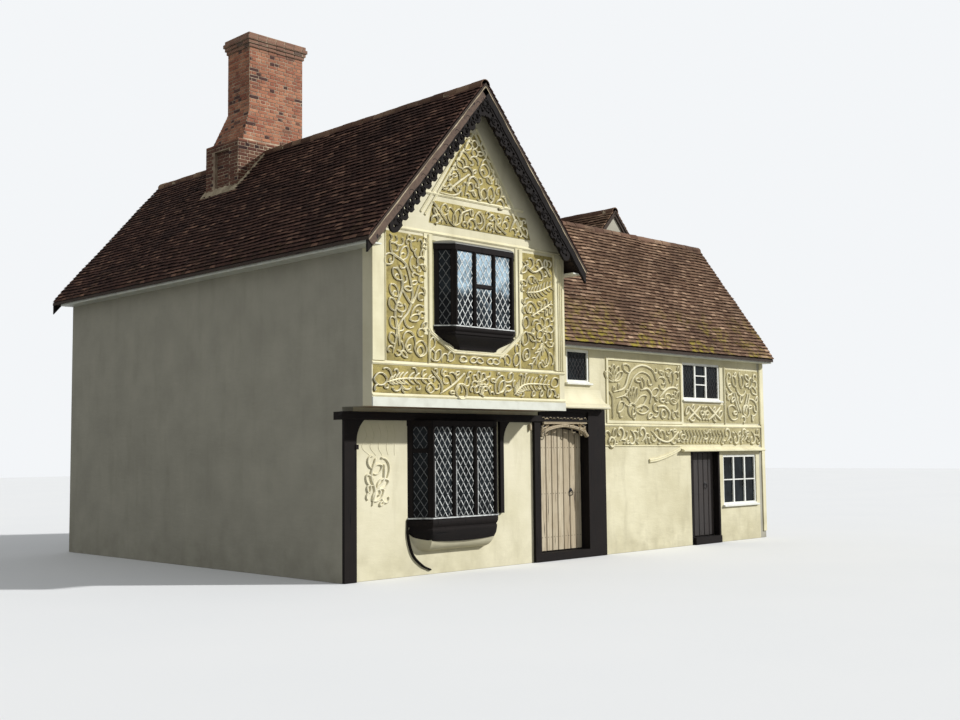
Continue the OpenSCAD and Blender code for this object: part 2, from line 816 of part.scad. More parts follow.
// The black plate, the left corner post and the curved braces beside the lower windows
module jetty_timbers() {
  post_front = jetty_depth - post_projection;
  plate_front = jetty_depth - jetty_plate_projection;
  oriel_right = lower_oriel_middle + lower_oriel_half + oriel_margin;
  collar = 30;
  color(timber_colour) place() {
    along_x(0, door_left) polygon([
      [plate_front, plate_foot + plate_chamfer], [plate_front + plate_chamfer, plate_foot],
      [lower_back, plate_foot], [lower_back, plate_top], [plate_front, plate_top]
    ]);
    along_y(plate_front, jetty_depth) polygon([
      [0, plate_foot], [-jetty_plate_end / 2, plate_foot + plate_chamfer],
      [-jetty_plate_end, (plate_foot + plate_top) / 2], [-jetty_plate_end / 2, plate_top],
      [0, plate_top]
    ]);
    block([0, post_front, 0], [corner_post_width, jetty_depth, plate_foot]);
    block(
      [corner_post_width - collar, post_front - collar / 2, collar_foot],
      [corner_post_width + collar, jetty_depth, collar_foot + collar_height]
    );
    along_y(post_front, jetty_depth)
      brace_outline(corner_post_width);
    block(
      [oriel_right, post_front, lower_oriel_sill],
      [oriel_right + side_post_width, jetty_depth, plate_foot]
    );
    along_y(post_front, jetty_depth) brace_outline(oriel_right + side_post_width);
  }
}

// Spandrel of a curved brace: its curve leaves the post upright and ends on the plate
module brace_outline(post_edge) {
  radius = (brace_width * brace_width + brace_height * brace_height) / (2 * brace_width);
  difference() {
    translate([post_edge, plate_foot - brace_height]) square([brace_width, brace_height]);
    translate([post_edge + radius, plate_foot - brace_height]) circle(r = radius, $fn = 96);
  }
}

module jetty_fascia() {
  color(white_colour) place() along_x(0, wing_width) polygon([
    [-fascia_thickness, jetty_height - 10], [0, jetty_height - 10],
    [0, jetty_height + fascia_height], [-fascia_thickness, jetty_height + fascia_height - 12]
  ]);
}

lower_head = plate_foot - oriel_head_height;
module at_lower_oriel() {
  translate([lower_oriel_middle, jetty_depth, 0]) children();
}
module at_upper_oriel() {
  translate([wing_middle, 0, 0]) children();
}

module lower_oriel_frame() {
  color(timber_colour) place() at_lower_oriel() {
    canted_frame(
      lower_oriel_half, lower_oriel_front_half, lower_oriel_projection,
      lower_oriel_sill, lower_head, 3, lower_transom, false
    );
    canted_loft(
      lower_oriel_half, lower_oriel_front_half, lower_oriel_projection,
      sill_rings(lower_oriel_sill - lower_sill_height, lower_sill_height)
    );
  }
}

module lower_oriel_glass() {
  color(glass_colour) place() at_lower_oriel() canted_glass(
    lower_oriel_half, lower_oriel_front_half, lower_oriel_projection,
    lower_oriel_sill, lower_head, 3, lower_transom, false
  );
}

module lower_oriel_base() {
  top = lower_oriel_sill - lower_sill_height;
  color(render_colour) place() at_lower_oriel() canted_loft(
    lower_oriel_half, lower_oriel_front_half, lower_oriel_projection,
    cove(lower_oriel_projection - cove_foot_depth, 30, top - lower_cove_height, top, 14)
  );
}

module upper_oriel_frame() {
  color(timber_colour) place() at_upper_oriel() {
    canted_frame(
      upper_oriel_half, upper_oriel_front_half, upper_oriel_projection,
      upper_oriel_sill, upper_oriel_head, 3, upper_transom, true
    );
    canted_loft(
      upper_oriel_half, upper_oriel_front_half, upper_oriel_projection,
      sill_rings(upper_oriel_sill - oriel_sill_height, oriel_sill_height)
    );
  }
}

module upper_oriel_glass() {
  color(glass_colour) place() at_upper_oriel() canted_glass(
    upper_oriel_half, upper_oriel_front_half, upper_oriel_projection,
    upper_oriel_sill, upper_oriel_head, 3, upper_transom, true
  );
}

module upper_oriel_base() {
  top = upper_oriel_sill - oriel_sill_height;
  color(timber_colour) place() at_upper_oriel() canted_loft(
    upper_oriel_half, upper_oriel_front_half, upper_oriel_projection,
    ogee(
      upper_oriel_projection - bracket_foot_depth, 30, top - upper_bracket_height, top,
      upper_bracket_taper, 14
    )
  );
}

module upper_oriel_cap() {
  foot = upper_oriel_head + oriel_head_height;
  color(lead_colour) place() at_upper_oriel() canted_loft(
    upper_oriel_half, upper_oriel_front_half, upper_oriel_projection,
    [[-14, foot, 0], [-14, foot + 12, 0], [40, foot + 45, 0], [150, foot + 80, 0]]
  );
}

// Section of a raised string moulding: a fillet, a round and a slope to shed rain
module string_section(height) {
  polygon([
    [0, 0], [-moulding_projection * 0.5, 0],
    for (i = [0:6])
      let (a = 90 - 30 * i)
      [-moulding_projection * (0.5 + 0.5 * cos(a)), height * (0.38 - 0.24 * sin(a))],
    [-moulding_projection * 0.45, height * 0.72], [0, height]
  ]);
}
module string_moulding(from, to, foot) {
  translate([0, 0, foot]) along_x(from, to) string_section(string_height);
}

module gable_mouldings() {
  frieze_top = jetty_height + fascia_height + gable_frieze_height;
  side = wing_middle - upper_oriel_half - oriel_margin;
  frieze_foot = jetty_height + fascia_height;
  board_foot = upper_oriel_sill - oriel_sill_height - upper_bracket_height + board_foot_rise;
  upper_half = 1200;
  color(render_colour) place() difference() {
    union() {
      string_moulding(0, wing_width, frieze_foot);
      string_moulding(0, wing_width, frieze_top);
      string_moulding(0, wing_width, gable_string_height);
      string_moulding(wing_middle - upper_half, wing_middle + upper_half, gable_upper_string_height);
      for (x = [0, wing_width - corner_board_width])
        along_y(-moulding_projection, 0)
          translate([x, frieze_top + string_height])
            square([corner_board_width, gable_string_height - frieze_top - string_height]);
      for (x = [side - 3 * string_height, wing_width - side])
        along_y(-moulding_projection / 2, 0)
          translate([x, board_foot])
            square([3 * string_height, gable_string_height - board_foot]);
    }
    along_y(-2 * over, over) difference() {
      translate([-wing_width, 0]) square([3 * wing_width, 2 * wing_ridge]);
      gable_outline(0, wing_width, 0, wing_middle, wing_ridge, wing_pitch, wing_roof_drop);
    }
  }
}

// One verge board along the left slope: a plain strip over a carved part with a cusped
// lower edge and pierced holes, which ends in a hanging round
module verge_board_outline() {
  run = wing_middle + eaves_overhang;
  length = run / cos(wing_pitch);
  from = (eaves_overhang + verge_carving_start) / cos(wing_pitch);
  hanging = (verge_board_width - verge_strip_width) / 2;
  cusps = floor((length - from - cusp_pitch) / cusp_pitch);
  under = wing_tile_edge - tile_thickness / cos(wing_pitch);
  intersection() {
    translate([-eaves_overhang, under]) rotate(wing_pitch) difference() {
      union() {
        translate([-run, -verge_strip_width]) square([length + 2 * run, verge_strip_width]);
        translate([from, -verge_board_width]) square([length, verge_board_width]);
        translate([from, hanging - verge_board_width]) circle(r = hanging);
      }
      translate([from, hanging - verge_board_width]) circle(r = pierced_radius);
      for (i = [1:cusps]) {
        translate([from + i * cusp_pitch, -verge_board_width - cusp_radius * 0.2])
          circle(r = cusp_radius, $fn = 24);
        translate([from + (i + 0.5) * cusp_pitch, -verge_board_width * 0.72])
          circle(r = pierced_radius, $fn = 16);
        translate([from + i * cusp_pitch, -verge_board_width * 0.56])
          circle(r = pierced_radius * 1.2, $fn = 16);
      }
    }
    translate([-eaves_overhang, 0]) square([run, wing_ridge]);
  }
}
module verge_boards(face) {
  for (side = [0, 1])
    translate([side * wing_width, 0, 0]) mirror([side, 0, 0])
      along_y(face, face + verge_board_thickness) verge_board_outline();
}

module front_verge_boards() {
  color(timber_colour) place() verge_boards(verge_setback - verge_overhang);
}

module rear_verge_boards() {
  color(timber_colour) place()
    verge_boards(wing_length + verge_overhang - verge_setback - verge_board_thickness);
}

module chimney_hole() {
  translate([0, 0, wing_wall_height])
    linear_extrude(wing_ridge) chimney_plan_hole();
}

module wing_slope() {
  board_back = verge_overhang - verge_setback - verge_board_thickness;
  difference() {
    union() {
      along_y(-verge_overhang, wing_length + verge_overhang)
        tile_slope(-eaves_overhang, wing_tile_edge, wing_middle, wing_pitch);
      along_y(-board_back, wing_length + board_back) rafter_slope(
        -eaves_overhang, wing_tile_edge, wing_middle, wing_pitch, wing_wall_height
      );
    }
    children();
  }
}

module wing_roof_left() {
  color(tile_colour) place() wing_slope() chimney_hole();
}

module wing_roof_right() {
  color(tile_colour) place() translate([wing_width, 0, 0]) mirror([1, 0, 0]) wing_slope()
    translate([wing_width, 0, 0]) mirror([1, 0, 0]) chimney_hole();
}

// Round ridge tiles: each run is cut to the slopes that it covers
module ridge_section(ridge, pitch) {
  difference() {
    translate([0, ridge - ridge_tile_radius * 0.45]) circle(r = ridge_tile_radius);
    polygon([
      [0, ridge + seat], [ridge, ridge + seat - ridge * tan(pitch)],
      [-ridge, ridge + seat - ridge * tan(pitch)]
    ]);
  }
}

module ridge_tiles() {
  color(range_tile_colour) place() {
    difference() {
      along_y(-verge_overhang, wing_length + verge_overhang)
        translate([wing_middle, 0]) ridge_section(wing_ridge, wing_pitch);
      chimney_hole();
    }
    difference() {
      along_x(wing_middle, range_end + range_verge)
        translate([range_middle, 0]) ridge_section(range_ridge, range_pitch);
      along_y(0, wing_length) wing_outline();
    }
    along_y(gablet_face - gablet_setback, rear_back + range_eaves)
      translate([rear_middle, 0]) ridge_section(rear_ridge, rear_wing_pitch);
  }
}

// Soffit and edge board under a row of tiles, from the face of the wall outwards
module eaves_section(overhang, soffit, edge_height, pitch) {
  board_edge = board_setback - overhang;
  tile_foot = edge_height - tile_thickness / cos(pitch);
  polygon([
    [board_edge, soffit], [0, soffit], [0, soffit + eaves_board],
    [board_edge + eaves_board, soffit + eaves_board],
    [board_edge + eaves_board, tile_foot + (board_setback + eaves_board) * tan(pitch)],
    [board_edge, tile_foot + board_setback * tan(pitch)]
  ]);
}

module eaves_boards() {
  color(white_colour) place() {
    for (side = [0, 1])
      difference() {
        translate([side * wing_width, 0, 0]) mirror([side, 0, 0])
          along_y(verge_board_thickness + verge_setback - verge_overhang, wing_length)
            eaves_section(
              eaves_overhang, wing_wall_height, wing_tile_edge, wing_pitch
            );
        along_x(wing_middle, range_end) range_outline();
      }
    difference() {
      for (side = [0, 1])
        translate([0, side * 2 * range_middle, 0]) mirror([0, side, 0])
          along_x(wing_width, range_end + range_verge)
            translate([range_front, 0])
              eaves_section(
                range_eaves, range_wall_height, range_tile_edge, range_pitch
              );
      block([rear_left, range_back, 0], [rear_right, rear_back, rear_ridge]);
    }
    difference() {
      for (side = [0, 1])
        translate([side * 2 * rear_middle, 0, 0]) mirror([side, 0, 0])
          along_y(range_middle, rear_back)
            translate([rear_left, 0])
              eaves_section(
                range_eaves, rear_wing_wall_height, rear_tile_edge, rear_wing_pitch
              );
      along_x(wing_middle, range_end) range_outline();
    }
  }
}

// The stack stands on the ground, narrows by sloped shoulders and ends in a plain shaft
module chimney_stack() {
  color(brick_colour) place() difference() {
    intersection() {
      along_y(chimney_front, chimney_back) polygon([
        [chimney_left, 0], [chimney_right, 0], [chimney_right, chimney_base_top],
        [shaft_right, chimney_base_top + chimney_right_step],
        [shaft_right, chimney_shaft_top], [shaft_left, chimney_shaft_top],
        [shaft_left, shoulder_top], [chimney_left + chimney_ledge, chimney_base_top],
        [chimney_left, chimney_base_top]
      ]);
      along_x(chimney_left, chimney_right) polygon([
        [chimney_front, 0], [chimney_back, 0], [chimney_back, chimney_base_top],
        [shaft_back, shoulder_top], [shaft_back, chimney_shaft_top],
        [shaft_front, chimney_shaft_top],
        [shaft_front, chimney_base_top + chimney_front_step],
        [chimney_front, chimney_base_top]
      ]);
    }
    block(
      [chimney_left - over, chimney_front + chimney_pier, panel_foot],
      [
        chimney_left + chimney_panel_recess, chimney_back - chimney_pier,
        chimney_base_top - panel_margin
      ]
    );
    flues(chimney_shaft_top);
  }
}

module flues(top) {
  spacing = chimney_shaft_width / 2;
  for (i = [0, 1])
    translate([
      shaft_left + spacing * (i + 0.5) - flue_width / 2,
      (shaft_front + shaft_back - flue_depth) / 2,
      chimney_height - flue_drop
    ])
      cube([flue_width, flue_depth, flue_drop + over]);
}

// Projecting courses at the head of the stack, the last one set back again
module chimney_head() {
  color(brick_colour) place() difference() {
    union() {
      for (i = [1:chimney_courses])
        let (out = chimney_course_step * (i < chimney_courses ? i : chimney_courses - 2))
          translate([0, 0, chimney_shaft_top + (i - 1) * chimney_course])
            linear_extrude(chimney_course)
              translate([shaft_left - out, shaft_front - out])
                square([chimney_shaft_width + 2 * out, chimney_shaft_depth + 2 * out]);
    }
    flues(chimney_height);
  }
}

// A wall along the street or the back, whose top follows the range's rafters
module range_wall_section(foot, top_open) {
  under_front = range_tile_edge + range_eaves * tan(range_pitch) - range_roof_drop - seat;
  polygon([
    [range_front, foot], [range_inner_front, foot],
    [range_inner_front, top_open ? under_front + wall_thickness * tan(range_pitch) : range_wall_joint],
    [range_front, top_open ? under_front : range_wall_joint]
  ]);
}

module range_wall_over_door() {
  color(render_colour) place() difference() {
    along_x(wing_width, door_post_right) range_wall_section(lintel_top, true);
    at_small_window() translate([0, -over - window_setback, 0])
      cube([small_window_width, wall_thickness + 2 * over, small_window_height]);
  }
}

module range_lower_wall_middle() {
  color(render_colour) place()
    along_x(door_post_right, side_frame_left) range_wall_section(0, false);
}

module range_lower_wall_right() {
  color(render_colour) place() difference() {
    along_x(side_frame_right, range_inner_end) range_wall_section(0, false);
    at_lower_window() translate([0, -over - window_setback, 0])
      cube([lower_window_width, wall_thickness + 2 * over, lower_window_height]);
  }
}

module range_upper_wall() {
  color(ground_colour) place() difference() {
    along_x(door_post_right, range_inner_end) range_wall_section(range_wall_joint, true);
    at_casement() translate([0, -over - window_setback, 0])
      cube([casement_width, wall_thickness + 2 * over, casement_height]);
  }
}

module range_right_gable() {
  color(render_colour) place() along_x(range_inner_end, range_end)
    gable_outline(
      range_front, range_back, 0, range_middle, range_ridge, range_pitch, range_roof_drop
    );
}

// The rear wall stops at each side of the rear wing, which is open to the range
module range_rear_wall() {
  color(render_colour) place() translate([0, 2 * range_middle, 0]) mirror([0, 1, 0]) {
    along_x(wing_width, rear_left + wall_thickness) range_wall_section(0, true);
    along_x(rear_right - wall_thickness, range_inner_end) range_wall_section(0, true);
  }
}

module range_upper_floor() {
  color(oak_colour) place() translate([0, 0, range_floor_height])
    linear_extrude(floor_thickness) union() {
      translate([wing_width, range_inner_front])
        square([range_inner_end - wing_width, range_inner_back - range_inner_front]);
      translate([rear_left + wall_thickness, range_inner_back - over])
        square([
          rear_wing_width - 2 * wall_thickness,
          rear_back - wall_thickness - range_inner_back + over
        ]);
    }
}

module range_slope() {
  edge = range_front - range_eaves;
  along_x(wing_middle, range_end + range_verge)
    tile_slope(edge, range_tile_edge, range_middle, range_pitch);
  along_x(wing_middle, range_end + range_verge - verge_setback)
    rafter_slope(edge, range_tile_edge, range_middle, range_pitch, range_wall_height);
}

// The range's slopes lie against the cross-wing's roof
module range_roof_front() {
  color(range_tile_colour) place() difference() {
    range_slope();
    along_y(-verge_overhang, wing_length) wing_outline();
  }
}

module range_roof_rear() {
  color(range_tile_colour) place() difference() {
    translate([0, 2 * range_middle, 0]) mirror([0, 1, 0]) range_slope();
    along_y(-verge_overhang, wing_length) wing_outline();
    block(
      [rear_left, range_inner_back, range_floor_height],
      [rear_right, rear_back, rear_ridge]
    );
  }
}

// Frieze strings, panel borders, corner board and the ledge over the side door
module range_mouldings() {
  ledge_left = side_frame_left - ledge_lap;
  border = moulding_projection;
  panel_left = door_post_right + panel_clearance;
  panel_bottom = range_string_height + string_height;
  panel_width = wing_width + casement_offset - panel_window_clearance - panel_left;
  panel_height = range_wall_height - panel_clearance - panel_bottom;
  color(render_colour) place() {
    translate([0, range_front, range_string_height])
      along_x(door_post_right, range_end - corner_board_width / 2) string_section(string_height);
    along_y(range_front - border, range_front)
      translate([panel_left, panel_bottom]) difference() {
        square([panel_width, panel_height]);
        translate([panel_border, panel_border])
          square([panel_width - 2 * panel_border, panel_height - 2 * panel_border]);
      }
    block(
      [range_end - corner_board_width / 2, range_front - border, ground_floor_thickness],
      [range_end, range_front, range_wall_height]
    );
    translate([0, range_front, 0]) along_x(ledge_left, range_end - corner_board_width / 2) polygon([
      [0, hood_height], [20 - hood_projection, hood_height],
      [-hood_projection, hood_height + 12], [-hood_projection, hood_height + 40],
      [0, hood_height + 85]
    ]);
  }
}

module range_window_frames() {
  color(white_colour) place() {
    at_small_window() {
      window_frame_piece(small_window_width, small_window_height, small_bars, small_rails);
      sill_board(small_window_width);
    }
    at_casement() {
      window_frame_piece(casement_width, casement_height, casement_bars, casement_rails);
      sill_board(casement_width);
    }
    at_lower_window() {
      window_frame_piece(lower_window_width, lower_window_height, lower_bars, lower_rails);
      sill_board(lower_window_width);
    }
  }
}

// A sill that stands out of the wall under a white window
module sill_board(width) {
  sill_drop = 45;
  lap = 40;
  translate([0, -window_setback, 0]) along_x(-lap, width + lap) polygon([
    [0, -sill_drop], [-50, -sill_drop], [-60, -sill_drop + 8], [-60, -8], [0, 0]
  ]);
  translate([0, -window_setback, 0]) cube([width, window_setback, window_frame / 2]);
}

module window_glass() {
  color(glass_colour) place() {
    at_small_window()
      window_glass_piece(small_window_width, small_window_height, small_bars, small_rails);
    at_casement()
      window_glass_piece(casement_width, casement_height, casement_bars, casement_rails);
    at_lower_window()
      window_glass_piece(lower_window_width, lower_window_height, lower_bars, lower_rails);
    at_rear_windows([0, 1, 2, 3])
      window_glass_piece(rear_window_width, rear_window_height, rear_bars, rear_rails);
  }
}

module rear_window_frames() {
  color(white_colour) place() at_rear_windows([0, 1, 2, 3]) {
    window_frame_piece(rear_window_width, rear_window_height, rear_bars, rear_rails);
    sill_board(rear_window_width);
  }
}

module arch_shape(grow, foot) {
  half = front_door_width / 2 + grow;
  outline = arch_outline(
    half, arch_rise + grow, arch_shoulder_radius, arch_shoulder_angle, 10
  );
  translate([door_left + front_door_width / 2, arch_springing])
    polygon(concat([[-half, foot - arch_springing]], outline, [[half, foot - arch_springing]]));
}

// Heights of the eyes of a door's two hinges
function hinge_heights(top) = [door_foot + hinge_inset, top - hinge_inset - hinge_eye_height];

// Pins that stand on arms behind the post
module hinge_pins(edge, top) {
  arm_height = 30;
  for (z = hinge_heights(top)) {
    translate([edge - hinge_side, leaf_back + hinge_behind, z - arm_height])
      cylinder(r = hinge_pin_radius, h = arm_height + hinge_eye_height);
    block(
      [edge - hinge_side - 30, frame_back, z - arm_height],
      [edge - hinge_side + 12, leaf_back + hinge_behind + 12, z]
    );
  }
}

// Straps and eyes on the back of a leaf
module hinge_straps(edge, top) {
  for (z = hinge_heights(top))
    difference() {
      union() {
        translate([edge - hinge_side, leaf_back + hinge_behind, z + hinge_gap])
          cylinder(r = hinge_eye_radius, h = hinge_eye_height - hinge_gap);
        block(
          [edge - hinge_side, leaf_back, z + hinge_gap],
          [edge + hinge_strap, leaf_back + strap_thickness, z + strap_height]
        );
      }
      translate([edge - hinge_side, leaf_back + hinge_behind, z - over])
        cylinder(r = hinge_pin_radius + hinge_gap, h = hinge_eye_height + 2 * over);
    }
}

// Posts, arched head, moulded lintel, threshold and hinge pins of the front door
module front_door_frame() {
  post_front = range_front - post_projection;
  rebate = 2 * leaf_clearance + leaf_lap;
  wing_edge = wing_width;
  color(timber_colour) place() {
    linear_extrude(plate_foot) polygon([
      [door_left - 2 * front_door_offset, post_front], [door_left, post_front],
      [door_left, frame_back], [wing_edge, frame_back], [wing_edge, lower_back],
      [door_left - 2 * front_door_offset, lower_back]
    ]);
    linear_extrude(lintel_top) polygon([
      [door_right, post_front], [door_post_right, post_front],
      [door_post_right, range_inner_front], [door_right + 2 * rebate, range_inner_front],
      [door_right + 2 * rebate, frame_back], [door_right, frame_back]
    ]);
    difference() {
      block(
        [door_left, range_front - post_projection / 2, arch_springing],
        [door_right, frame_back, door_head_top]
      );
      along_y(post_front - over, frame_back + over) arch_shape(0, arch_springing - over);
    }
    along_x(door_left, door_right) polygon([
      [range_front - post_projection / 2, door_head_top],
      [post_front - 25, door_head_top + 10], [post_front - 25, door_head_top + 35],
      [range_front - post_projection / 2, door_head_top + 60],
      [range_front - post_projection / 2, lintel_top - 70],
      [post_front - 20, lintel_top - 45], [post_front - 20, lintel_top],
      [range_inner_front, lintel_top], [range_inner_front, door_head_top]
    ]);
    block([door_left, post_front, 0], [door_right, range_inner_front, ground_floor_thickness]);
    hinge_pins(door_left, arch_springing);
  }
}

module front_door() {
  color(oak_colour) place() {
    along_y(leaf_front, leaf_back) arch_shape(leaf_lap, door_foot);
    hinge_straps(door_left, arch_springing);
  }
}

// Coved and rendered apron over the front door, with a moulded edge
module door_apron() {
  steps = 10;
  foot = lintel_top;
  hollow = apron_height - apron_edge;
  color(render_colour) place() along_x(wing_width, door_post_right - 50) polygon([
    [range_front, foot], [range_front - apron_projection + 20, foot],
    [range_front - apron_projection, foot + 12],
    [range_front - apron_projection, foot + apron_edge * 0.5],
    [range_front - apron_projection + 24, foot + apron_edge * 0.6],
    for (i = [0:steps])
      let (a = 90 * i / steps)
      [
        range_front - (apron_projection - 24) * (1 - sin(a)),
        foot + apron_edge + hollow * (1 - cos(a))
      ]
  ]);
}

module side_door_frame() {
  side_head = hood_height;
  color(timber_colour) place() {
    for (edges = [[side_frame_left, side_left], [side_right, side_frame_right]])
      block([edges[0], range_front, 0], [edges[1], frame_back, side_head]);
    block(
      [side_frame_left, range_front, side_head],
      [side_frame_right, frame_back, range_wall_joint]
    );
    block(
      [side_left, range_front - 60, 0],
      [side_right, range_inner_front, ground_floor_thickness]
    );
    hinge_pins(side_left, hood_height);
  }
}

module side_door() {
  color(timber_colour) place() {
    block(
      [side_left - leaf_lap, leaf_front, door_foot],
      [side_right + leaf_lap, leaf_back, hood_height + leaf_lap]
    );
    hinge_straps(side_left, hood_height);
  }
}

module rear_slope() {
  difference() {
    union() {
      along_y(gablet_face - gablet_setback, rear_back + range_eaves)
        tile_slope(rear_left - range_eaves, rear_tile_edge, rear_middle, rear_wing_pitch);
      along_y(gablet_face - gablet_setback + verge_setback, rear_back + range_eaves - verge_setback)
        rafter_slope(
          rear_left - range_eaves, rear_tile_edge, rear_middle, rear_wing_pitch,
          rear_wing_wall_height
        );
    }
    along_x(wing_middle, range_end + range_verge) range_outline();
  }
}

module rear_wing_roof_left() {
  color(range_tile_colour) place() rear_slope();
}

module rear_wing_roof_right() {
  color(range_tile_colour) place() translate([2 * rear_middle, 0, 0]) mirror([1, 0, 0])
    rear_slope();
}

// Side walls that run forward over the range's slope
module rear_wing_side_walls() {
  top = rear_tile_edge + range_eaves * tan(rear_wing_pitch) - rear_roof_drop - seat;
  inner_top = top + wall_thickness * tan(rear_wing_pitch);
  color(render_colour) place() difference() {
    for (side = [0, 1])
      translate([side * 2 * rear_middle, 0, 0]) mirror([side, 0, 0])
        along_y(range_middle, rear_back - wall_thickness) polygon([
          [rear_left, 0], [rear_left + wall_thickness, 0],
          [rear_left + wall_thickness, inner_top], [rear_left, top]
        ]);
    along_x(wing_middle, range_end + range_verge) range_outline();
  }
}

// The back wall of the rear wing and the small gable that shows over the range's ridge
module rear_wing_gables() {
  color(render_colour) place() {
    difference() {
      along_y(rear_back - wall_thickness, rear_back)
        gable_outline(
          rear_left, rear_right, 0, rear_middle, rear_ridge,
          rear_wing_pitch, rear_roof_drop
        );
      at_rear_windows([2, 3]) rear_window_hole();
    }
    difference() {
      along_y(gablet_face, gablet_face + gablet_thickness)
        gable_outline(
          rear_left + wall_thickness, rear_right - wall_thickness, range_wall_height,
          rear_middle, rear_ridge, rear_wing_pitch, rear_roof_drop
        );
      along_x(wing_middle, range_end + range_verge) range_outline();
    }
  }
}

ground_floor();
wing_left_wall();
wing_right_wall();
wing_lower_front_wall();
wing_front_gable();
wing_rear_gable();
wing_upper_floor();
jetty_timbers();
jetty_fascia();
lower_oriel_frame();
lower_oriel_glass();
lower_oriel_base();
upper_oriel_frame();
upper_oriel_glass();
upper_oriel_base();
upper_oriel_cap();
gable_mouldings();
front_verge_boards();
rear_verge_boards();
wing_roof_left();
wing_roof_right();
ridge_tiles();
eaves_boards();
chimney_stack();
chimney_head();
range_wall_over_door();
range_lower_wall_middle();
range_lower_wall_right();
range_upper_wall();
range_right_gable();
range_rear_wall();
range_upper_floor();
range_roof_front();
range_roof_rear();
range_mouldings();
range_window_frames();
window_glass();
front_door_frame();
front_door();
door_apron();
side_door_frame();
side_door();
rear_wing_side_walls();
rear_wing_gables();
rear_wing_roof_left();
rear_wing_roof_right();
rear_window_frames();
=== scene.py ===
"""Looks of a half timbered house with a jettied and pargeted gable beside a long low range.

Every shape is worked out in house coordinates, in metres: X from the outer left corner of the
cross-wing, Y from the plane of its jettied front and Z from the ground. Gathered.build moves
the finished mesh into the shared frame.
"""

import logging
import math
from dataclasses import dataclass, field
from enum import Enum

import bmesh
import bpy
import numpy as np
from mathutils import Matrix, Vector

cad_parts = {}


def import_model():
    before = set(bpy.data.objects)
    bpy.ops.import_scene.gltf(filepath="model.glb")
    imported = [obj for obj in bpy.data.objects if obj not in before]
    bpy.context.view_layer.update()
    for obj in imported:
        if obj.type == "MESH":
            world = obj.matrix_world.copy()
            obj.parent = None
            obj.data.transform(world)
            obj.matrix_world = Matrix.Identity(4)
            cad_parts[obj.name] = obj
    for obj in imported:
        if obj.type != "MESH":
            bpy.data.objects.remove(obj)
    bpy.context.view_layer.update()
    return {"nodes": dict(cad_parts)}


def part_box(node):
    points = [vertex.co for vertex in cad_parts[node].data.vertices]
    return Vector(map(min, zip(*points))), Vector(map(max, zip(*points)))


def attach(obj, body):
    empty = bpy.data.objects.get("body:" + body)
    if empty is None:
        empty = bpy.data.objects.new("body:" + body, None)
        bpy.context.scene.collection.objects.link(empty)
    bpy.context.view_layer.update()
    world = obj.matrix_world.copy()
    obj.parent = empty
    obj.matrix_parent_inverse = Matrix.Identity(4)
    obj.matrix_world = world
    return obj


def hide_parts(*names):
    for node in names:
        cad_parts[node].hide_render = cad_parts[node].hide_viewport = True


Array = np.ndarray
Triple = tuple[float, float, float]
Colour = Triple
Point = tuple[float, float]
Knots = list[Triple]
Socket = bpy.types.NodeSocket
Value = Socket | float
Tone = Socket | Colour
LOG = logging.getLogger("house")

# the house's own origin in the shared frame, and the corners that no tile goes beyond
HOUSE_ORIGIN = np.array([6.07, 5.0, 0.0])
HOUSE_LOW, HOUSE_HIGH = np.array([-0.31, -0.31, 0.0]), np.array([12.45, 10.31, 10.66])
NO_END = 99.0


# --- sizes of the house


@dataclass(frozen=True)
class Roof:
    """One pair of slopes: the height of the tile edge, its overhang and its pitch."""

    edge: float
    overhang: float
    half: float
    pitch: float

    @property
    def lean(self) -> Point:
        """Cosine and sine of the pitch."""
        return math.cos(math.radians(self.pitch)), math.sin(math.radians(self.pitch))

    @property
    def slope(self) -> float:
        """Rise of the roof for each metre towards the ridge."""
        return math.tan(math.radians(self.pitch))

    @property
    def ridge(self) -> float:
        """Height of the ridge."""
        return self.under(self.half)

    @property
    def length(self) -> float:
        """Length of a slope from the tile edge to the ridge."""
        return (self.half + self.overhang) / self.lean[0]

    def under(self, run: Array | float) -> Array | float:
        """Height of the tiles' underside at a distance inwards from the wall's face."""
        return self.edge + (run + self.overhang) * self.slope


@dataclass(frozen=True)
class Plan:
    """Main places of the house, in metres."""

    wing_width: float = 4.5
    wing_length: float = 10.0
    verge: float = 0.31
    front: float = 0.73
    range_end: float = 12.35
    range_verge: float = 0.10
    range_middle: float = 2.49
    range_back: float = 4.25
    rear_middle: float = 9.40
    rear_half: float = 1.7
    wing: Roof = Roof(5.29, 0.31, 2.25, 48.85)
    oriel_middle: float = 2.25
    verge_face: float = 0.29
    long_range: Roof = Roof(4.075, 0.25, 1.76, 54.6)
    rear: Roof = Roof(5.41, 0.25, 1.7, 47.0)


PLAN = Plan()


# --- colours and node trees


def linear(red: int, green: int, blue: int) -> Colour:
    """Turns a colour as it is seen, 0 to 255, into the linear values that a shader takes.

    Args:
        red: Share of red.
        green: Share of green.
        blue: Share of blue.

    Returns:
        The linear colour.
    """
    seen = np.array([red, green, blue]) / 255
    low, high = seen / 12.92, ((seen + 0.055) / 1.055) ** 2.4
    return tuple(float(v) for v in np.where(seen <= 0.04045, low, high))


def tones(listed: str) -> tuple[Colour, ...]:
    """Linear colours from seen ones that are written in hexadecimal, with spaces between."""
    return tuple(linear(*bytes.fromhex(tone)) for tone in listed.split())


